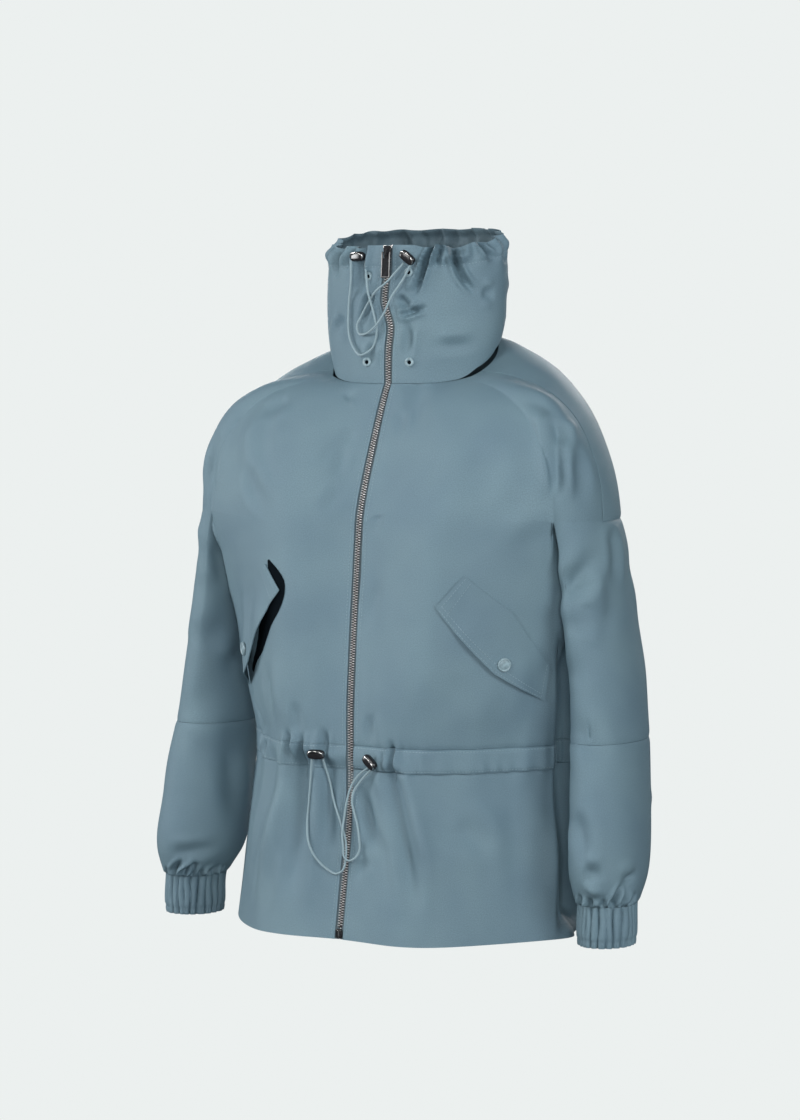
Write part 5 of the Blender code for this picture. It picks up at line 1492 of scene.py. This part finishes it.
def zip_way():
    """The zip's way up the front: closely spaced points on the outer cloth, with outward normals."""
    stretches = []
    z = np.linspace(HEM_Z + 0.012, ARMHOLE_Z - 0.001, 220)
    stretches.append((body_surface(0.0 * z, z, False, 1.0), body_normals(0.0 * z, z, False, 1.0)))
    r = np.linspace(0.0, 0.98, 90)
    stretches.append((body_surface(0.0 * r, r, True, 1.0), body_normals(0.0 * r, r, True, 1.0)))
    h = np.linspace(0.02, 0.99, 90)
    stretches.append((collar(0.0 * h, h), normals(collar, 0.0 * h, h, du=0.05)))
    p = np.concatenate([s[0] for s in stretches])
    n = np.concatenate([s[1] for s in stretches])
    return p, n, run_length(p)


TOOTH_OUTLINE = np.array(
    [
        (0.0027, -0.00046),
        (0.0014, -0.00046),
        (0.0010, -0.00062),
        (0.0004, -0.00052),
        (0.0001, 0.0),
        (0.0004, 0.00052),
        (0.0010, 0.00062),
        (0.0014, 0.00046),
        (0.0027, 0.00046),
    ]
)
TOOTH_LEVELS = ((-0.0012, 1.0), (0.0003, 1.0), (0.0010, 0.55))


def build_teeth():
    """Metal teeth from both tapes, meeting in turn along the zip's way."""
    p, n, length = zip_way()
    verts = []
    faces = []
    corners = len(TOOTH_OUTLINE)
    middle = TOOTH_OUTLINE.mean(axis=0)
    for k in range(int((length[-1] - 2.0 * TEETH_END_ROOM) / (TOOTH_PITCH / 2.0))):
        at = TEETH_END_ROOM + k * TOOTH_PITCH / 2.0
        side = 1.0 if k % 2 else -1.0
        here = read_row(p, length, at)
        out = unit(read_row(n, length, at))
        along = unit(read_row(p, length, at + TEETH_END_ROOM) - here)
        across = unit(np.cross(along, out)) * side
        base = len(verts)
        for level, scale in TOOTH_LEVELS:
            for x, y in middle + (TOOTH_OUTLINE - middle) * scale:
                verts.append(here + across * x + along * y + out * level)
        for ring in range(len(TOOTH_LEVELS) - 1):
            for i in range(corners):
                j = (i + 1) % corners
                low = base + ring * corners
                faces.append((low + i, low + j, low + corners + j, low + corners + i))
        faces.append(tuple(base + i for i in reversed(range(corners))))
        faces.append(tuple(base + 2 * corners + i for i in range(corners)))
    mesh = bpy.data.meshes.new("zip_teeth")
    mesh.from_pydata([tuple(v) for v in verts], [], faces)
    bm = bmesh.new()
    bm.from_mesh(mesh)
    bmesh.ops.recalc_face_normals(bm, faces=bm.faces)
    bm.to_mesh(mesh)
    bm.free()
    declare(link("zip_teeth", mesh, "steel"), "garment", "zip_metal", "zip_chain")
    # A near-black strip just under the teeth, so the gaps between them show dark: painted shade.
    across = unit(np.cross(np.gradient(p, axis=0), n))
    teeth_shadow = np.stack([p + across * x for x in (TEETH_SHADOW_HALF_WIDTH, 0.0, -TEETH_SHADOW_HALF_WIDTH)], axis=1)
    grid = (teeth_shadow, np.repeat(n[:, None], 3, axis=1))
    dark = shell("zip_teeth_shadow", [grid], TEETH_SHADOW_THICKNESS, -TEETH_SHADOW_SINK, "teeth_shadow")
    declare(dark, "garment", "zip_tape")


def build_tapes():
    qs = spread((TAPE_INNER_X / 0.2, TAPE_OUTER_Q, 5))
    degrees, h = np.meshgrid(spread((TAPE_INNER_DEG, TAPE_OUTER_DEG, 5)), spread((0.004, 1.0, 60)))
    for side, word in SIDES:
        grids = [
            body_grid(qs, spread((HEM_Z, ARMHOLE_Z, 150)), False, side),
            body_grid(qs, ray_rows(80)[1:], True, side),
            collar_cloth(side * degrees, h),
        ]
        joined = tuple(np.concatenate(both) for both in zip(*grids))
        tape = shell(f"zip_tape_{word}_woven", [joined], TAPE_THICKNESS, -(WALL + 2.0 * GAP), "tape")
        declare(tape, "garment", "zip_tape", f"zip_tape_{word}")


def place_on(p, n):
    """A frame on the cloth: X sideways, -Y outwards, Z up along the cloth."""
    inward = Vector(-n)
    across = (Vector((1.0, 0.0, 0.0)) - inward * inward.x).normalized()
    up = across.cross(inward)
    turn = Matrix((across, inward, up)).transposed().to_4x4()
    return Matrix.Translation(Vector(p)) @ turn


def hard_piece(name, bm, look, matrix, bevel=0.0):
    """A hard piece from a bmesh in its own frame, with softened edges."""
    bmesh.ops.remove_doubles(bm, verts=bm.verts, dist=0.000001)
    bmesh.ops.recalc_face_normals(bm, faces=bm.faces)
    mesh = bpy.data.meshes.new(name)
    bm.to_mesh(mesh)
    bm.free()
    mesh.shade_smooth()
    mesh.set_sharp_from_angle(angle=math.radians(SHARP_HARD_DEG))
    made = link(name, mesh, look)
    made.matrix_world = matrix
    if bevel > 0.0:
        edge = made.modifiers.new("Bevel", "BEVEL")
        edge.width = bevel
        edge.segments = 3
        edge.limit_method = "ANGLE"
        edge.harden_normals = True
    return made


def box(bm, low, high):
    """A box between two corners."""
    made = bmesh.ops.create_cube(bm, size=1.0)["verts"]
    low = Vector(low)
    high = Vector(high)
    for vert in made:
        vert.co = [(a + b) / 2.0 + c * (b - a) for a, b, c in zip(low, high, vert.co)]


def turned(bm, profile, segments, closed=False):
    """A turned form: (radius, height outwards) rows spun round the frame's -Y."""
    verts = [bm.verts.new((radius, -height, 0.0)) for radius, height in profile]
    pairs = list(zip(verts, verts[1:] + verts[:1])) if closed else list(zip(verts, verts[1:]))
    edges = [bm.edges.new(pair) for pair in pairs]
    bmesh.ops.spin(
        bm,
        geom=verts + edges,
        cent=(0.0, 0.0, 0.0),
        axis=(0.0, 1.0, 0.0),
        angle=2.0 * math.pi,
        steps=segments,
        use_duplicate=False,
    )


def arc(centre, radius, start, end, steps):
    """Points of a round stretch in a profile."""
    angles = np.radians(np.linspace(start, end, steps))
    return [(centre[0] + radius * math.cos(a), centre[1] + radius * math.sin(a)) for a in angles]


def on_creased_front(x, z, reach=0.0030):
    """The outer cloth with the normal of the creased cloth itself, as a disc of that reach lies on it."""
    places = ((x + reach, z), (x - reach, z), (x, z + reach), (x, z - reach))
    right, left, high, low = (on_front(*place)[0] for place in places)
    return (right + left + high + low) / 4.0, unit(np.cross(right - left, high - low))


def build_eyelets():
    middle = (EYELET_RADIUS + EYELET_HOLE) / 2.0
    ring = (EYELET_RADIUS - EYELET_HOLE) / 2.0
    rim = [(x, height * EYELET_FLATNESS) for x, height in arc((middle, 0.0), ring, 180.0, 0.0, 12)]
    rim += [(EYELET_RADIUS, -EYELET_SEAT), (EYELET_HOLE, -EYELET_SEAT)]
    dark = EYELET_HOLE + EYELET_HOLE_LAP
    disc = [(0.0, 0.0), (dark, 0.0), (dark, EYELET_HOLE_DEPTH), (0.0, EYELET_HOLE_DEPTH)]
    for name, (x, z) in EYELETS.items():
        p, n = on_creased_front(x, z)
        bm = bmesh.new()
        turned(bm, rim, 40, closed=True)
        piece = hard_piece(f"{name}_ring", bm, "lacquer", place_on(p + n * 2.0 * GAP, n))
        declare(piece, "garment", "pewter", name)
        # A near-black disc in the ring's opening: painted shadow.
        bm = bmesh.new()
        turned(bm, disc, 24)
        hole_shadow = hard_piece(f"{name}_hole", bm, "pocket", place_on(p + n * GAP, n))
        declare(hole_shadow, "garment", "shell_cloth")


def build_snaps():
    cap = [(0.0, 0.0014), (0.0044, 0.0014), (0.0050, 0.0012), (0.0056, 0.0016)]
    cap += arc((0.0062, 0.0008), 0.0010, 110.0, 0.0, 8) + [(SNAP_RADIUS, 0.0), (0.0, 0.0)]
    for side, word, lift in FLAPS:
        p, n = flap_grid(np.array([SNAP_ALONG]), np.array([SNAP_ACROSS]), side, lift)
        bm = bmesh.new()
        turned(bm, cap, 48)
        piece = hard_piece(f"snap_{word}_cap", bm, "lacquer", place_on(p[0] + n[0] * 2.0 * GAP, n[0]))
        declare(piece, "garment", "pewter", f"snap_{word}")


def rounded_block(bm, half, rows=14, columns=28, square=3.4):
    """A soft-edged block: a superellipsoid of the given half sizes."""
    ring = []
    for i in range(rows + 1):
        up = -math.pi / 2.0 + math.pi * i / rows
        level = []
        for j in range(columns):
            turn = 2.0 * math.pi * j / columns
            flat = abs(math.cos(up)) ** (2.0 / square)
            x = flat * math.copysign(abs(math.cos(turn)) ** (2.0 / square), math.cos(turn))
            y = flat * math.copysign(abs(math.sin(turn)) ** (2.0 / square), math.sin(turn))
            z = math.copysign(abs(math.sin(up)) ** (2.0 / square), math.sin(up))
            level.append(bm.verts.new((half[0] * x, half[1] * y, half[2] * z)))
        ring.append(level)
    for low, high in zip(ring, ring[1:]):
        for j in range(columns):
            k = (j + 1) % columns
            bm.faces.new((low[j], low[k], high[k], high[j]))


def oval_ring(bm, half_width, half_height, tube, segments=40, sides=10):
    """A round bar bent to an oval, in the frame's XZ plane."""
    loops = []
    for i in range(segments):
        turn = 2.0 * math.pi * i / segments
        centre = Vector((half_width * math.cos(turn), 0.0, half_height * math.sin(turn)))
        out = Vector((half_height * math.cos(turn), 0.0, half_width * math.sin(turn))).normalized()
        loop = []
        for j in range(sides):
            angle = 2.0 * math.pi * j / sides
            spoke = out * math.cos(angle) + Vector((0.0, math.sin(angle), 0.0))
            loop.append(bm.verts.new(centre + tube * spoke))
        loops.append(loop)
    for i in range(segments):
        here, after = loops[i], loops[(i + 1) % segments]
        for j in range(sides):
            k = (j + 1) % sides
            bm.faces.new((here[j], here[k], after[k], after[j]))


def build_locks():
    """Cord locks: a black body whose bright-rimmed mouth faces down and out, where the cords leave."""
    half = LOCK_WIDTH / 2.0
    for name, (x, z, seat, turn_deg) in LOCKS.items():
        p, n = on_front(x, z)
        matrix = place_on(p + n * seat, n) @ Matrix.Translation((0.0, -LOCK_DEPTH / 2.0, 0.0))
        matrix = matrix @ Matrix.Rotation(math.radians(turn_deg), 4, "Y")
        bm = bmesh.new()
        rounded_block(bm, (half, LOCK_DEPTH / 2.0, LOCK_HEIGHT / 2.0))
        body = hard_piece(f"{name}_body", bm, "black", matrix)
        declare(body, "garment", "lock", name)
        tilt = Matrix.Rotation(math.radians(LOCK_MOUTH_TILT_DEG), 4, "X")
        mouth = matrix @ Matrix.Translation(LOCK_MOUTH_AT) @ tilt
        bm = bmesh.new()
        oval_ring(bm, half - LOCK_RIM_IN, LOCK_HEIGHT / 2.0, LOCK_RIM_BAR)
        rim = hard_piece(f"{name}_rim", bm, "bright", mouth)
        declare(rim, "garment", "lock")


def slab(bm, outline, back, front):
    """A flat plate with a given outline in XZ, between two depths along the frame's Y."""
    rear = [bm.verts.new((x, back, z)) for x, z in outline]
    face = [bm.verts.new((x, front, z)) for x, z in outline]
    bm.faces.new(rear)
    bm.faces.new(face)
    for i in range(len(outline)):
        j = (i + 1) % len(outline)
        bm.faces.new((rear[i], rear[j], face[j], face[i]))


SLIDER_OUTLINE = (
    (-0.0050, 0.0070),
    (0.0050, 0.0070),
    (0.0045, 0.0000),
    (0.0033, -0.0070),
    (-0.0033, -0.0070),
    (-0.0045, 0.0000),
)


def hinge_frame():
    """The frame of the pull tab's hinge, turned as the collar's front."""
    n = normals(collar, np.array([0.0]), np.array([SLIDER_H]), du=0.05)[0]
    return place_on(HINGE, n)


def build_slider():
    """Zip slider: a plate with a bail, and the end stops above it."""
    seat = hinge_frame() @ Matrix.Translation((0.0, BAIL_REACH, 0.0))
    bm = bmesh.new()
    slab(bm, SLIDER_OUTLINE, 0.0, -SLIDER_THICKNESS)
    for i in range(BAIL_STEPS):
        upper, lower = (math.pi * k / BAIL_STEPS for k in (i, i + 1))
        z_low = BAIL_HALF_LENGTH * math.cos(lower) - BAIL_LAP
        z_high = BAIL_HALF_LENGTH * math.cos(upper) + BAIL_LAP
        y = -BAIL_FOOT - BAIL_RISE * math.sin((upper + lower) / 2.0)
        box(bm, (-BAIL_HALF_WIDTH, y - BAIL_HALF_BAR, z_low), (BAIL_HALF_WIDTH, y + BAIL_HALF_BAR, z_high))
    slider = hard_piece("zip_slider_plate", bm, "black", seat, bevel=0.0003)
    declare(slider, "garment", "zip_metal", "zip_slider")
    bm = bmesh.new()
    for side, _ in SIDES:
        middle = side * TOP_STOP_X
        across = (middle - TOP_STOP_HALF, middle + TOP_STOP_HALF)
        box(bm, *zip(across, TOP_STOP_DEPTH, TOP_STOP_HEIGHT))
    stops = hard_piece("zip_top_stops", bm, "bright", seat, bevel=0.0005)
    declare(stops, "garment", "zip_metal")


def build_pull():
    """Pull tab that hangs from the bail: a plate on two arms and a pin, with a raised edge."""
    axis = hinge_frame()
    half = PULL_WIDTH / 2.0
    thick = PULL_THICKNESS / 2.0
    bm = bmesh.new()
    box(bm, (-half, -thick, -PULL_LENGTH), (half, thick, PULL_PLATE_TOP))
    for side, _ in SIDES:
        middle = side * (half - PULL_ARM_HALF)
        near, far = middle - PULL_ARM_HALF, middle + PULL_ARM_HALF
        box(bm, (near, -thick, PULL_ARM_FOOT), (far, thick, PULL_ARM_TOP))
    box(bm, (-half, -PULL_PIN_HALF, -PULL_PIN_HALF), (half, PULL_PIN_HALF, PULL_PIN_HALF))
    tab = hard_piece("zip_pull_tab", bm, "black", axis, bevel=0.0004)
    declare(tab, "pull_tab", "zip_metal", "zip_pull")
    bm = bmesh.new()
    front = -thick - PULL_EDGE_RISE
    foot = -PULL_LENGTH + PULL_EDGE_RISE
    inner = half - PULL_EDGE_IN
    for side, _ in SIDES:
        middle = side * inner
        box(bm, (middle - PULL_EDGE_HALF, front, foot), (middle + PULL_EDGE_HALF, 0.0, PULL_EDGE_TOP))
    box(bm, (-inner, front, foot), (inner, 0.0, foot + 2.0 * PULL_EDGE_HALF))
    edges = hard_piece("zip_pull_edges", bm, "pewter", axis, bevel=0.0003)
    declare(edges, "pull_tab", "zip_metal")


def build_bottom_box():
    """The box at the zip's lower end, with two bright ridges."""
    low = lower_body(np.zeros(1), np.array([HEM_Z + BOTTOM_BOX_UP]))[0]
    matrix = place_on(low, np.array([0.0, -1.0, 0.0]))
    bm = bmesh.new()
    rounded_block(bm, BOTTOM_BOX_HALF, square=5.0)
    stop = hard_piece("zip_bottom_block", bm, "black", matrix)
    declare(stop, "garment", "zip_metal", "zip_bottom_box")
    bm = bmesh.new()
    for low_corner, high_corner in BOTTOM_RIDGES:
        box(bm, low_corner, high_corner)
    ridge = hard_piece("zip_bottom_ridges", bm, "bright", matrix, bevel=0.0003)
    declare(ridge, "garment", "zip_metal")


# Stitching


def along_row(p, n, pitch):
    """Evenly spaced places along a row of points: place, direction and outward normal."""
    length = run_length(p)
    half = pitch / 2.0
    at = np.arange(half, length[-1] - half, pitch)
    way = read_row(p, length, at + half) - read_row(p, length, at - half)
    return read_row(p, length, at), unit(way), unit(read_row(n, length, at))


def stitch_rows():
    """Each visible row of stitches as points and normals on the cloth."""
    rows = []
    fine = 400
    levels = ((HEM_Z + 0.001, CASING_BOTTOM_Z - 0.001), (CASING_TOP_Z + 0.001, ARMHOLE_Z))
    for side, _ in SIDES:
        for low, high in levels:
            z = np.linspace(low, high, fine)
            rows.append(body_cloth(np.full(fine, ZIP_STITCH_Q), z, False, side))
        r = np.linspace(0.0, NECK_END_R, fine)
        rows.append(body_cloth(np.full(fine, ZIP_STITCH_Q), r, True, side))
        h = np.linspace(0.01, 0.99, fine)
        rows.append(collar_cloth(np.full(fine, side * ZIP_STITCH_DEG), h))
        q = np.linspace(FRONT_EDGE_Q + 0.005, CENTRE_BACK_Q, 3 * fine)
        for z in (CASING_TOP_Z - CASING_STITCH_IN, CASING_BOTTOM_Z + CASING_STITCH_IN):
            rows.append(casing_cloth(q, np.full(3 * fine, z), side))
    around = np.linspace(COLLAR_EDGE_DEG + 1.0, 359.0 - COLLAR_EDGE_DEG, 3 * fine)
    rows.append(collar_cloth(around, np.full(3 * fine, RIM_STITCH_H)))
    for side, _, lift in FLAPS:
        t = np.linspace(*FLAP_STITCH_ENDS, fine)
        for across in FLAP_STITCH_ACROSS:
            rows.append(flap_grid(t, np.full(fine, across), side, lift))
        for along in FLAP_STITCH_ALONG:
            rows.append(flap_grid(np.full(fine, along), t, side, lift))
    return rows


def build_stitches():
    """Short threads along every row, sunk a little at both ends."""
    corners = 6
    ring = np.arange(corners) * 2.0 * math.pi / corners
    along_share = np.array([-0.5, 0.0, 0.5])
    size = np.array([0.55, 1.0, 0.55])
    rise = np.array([-0.4, 0.5, -0.4])
    places = [along_row(p, n, STITCH_PITCH) for p, n in stitch_rows()]
    here, way, out = (np.concatenate(parts) for parts in zip(*places))
    across = np.cross(way, out)
    forth = STITCH_LENGTH * along_share[:, None] * way[:, None]
    raised = STITCH_RADIUS * rise[:, None] * out[:, None]
    centre = here[:, None] + forth + raised
    spokes = np.cos(ring)[:, None] * across[:, None] + np.sin(ring)[:, None] * out[:, None]
    verts = centre[:, :, None] + STITCH_RADIUS * size[:, None, None] * spokes[:, None]
    quads = []
    for k in range(2):
        for i in range(corners):
            j = (i + 1) % corners
            quads.append((k * corners + i, k * corners + j, (k + 1) * corners + j, (k + 1) * corners + i))
    starts = np.arange(len(here)) * 3 * corners
    faces = (np.array(quads)[None] + starts[:, None, None]).reshape(-1, 4)
    mesh = bpy.data.meshes.new("stitching")
    mesh.from_pydata(verts.reshape(-1, 3).tolist(), [], faces.tolist())
    mesh.shade_smooth()
    declare(link("stitching", mesh, "thread"), "garment", "shell_cloth")


build_camera()
build_stage()
build_cords()
build_body()
build_sleeves()
build_collar()
build_flaps()
build_tapes()
build_teeth()
build_eyelets()
build_snaps()
build_locks()
build_slider()
build_pull()
build_bottom_box()
build_stitches()
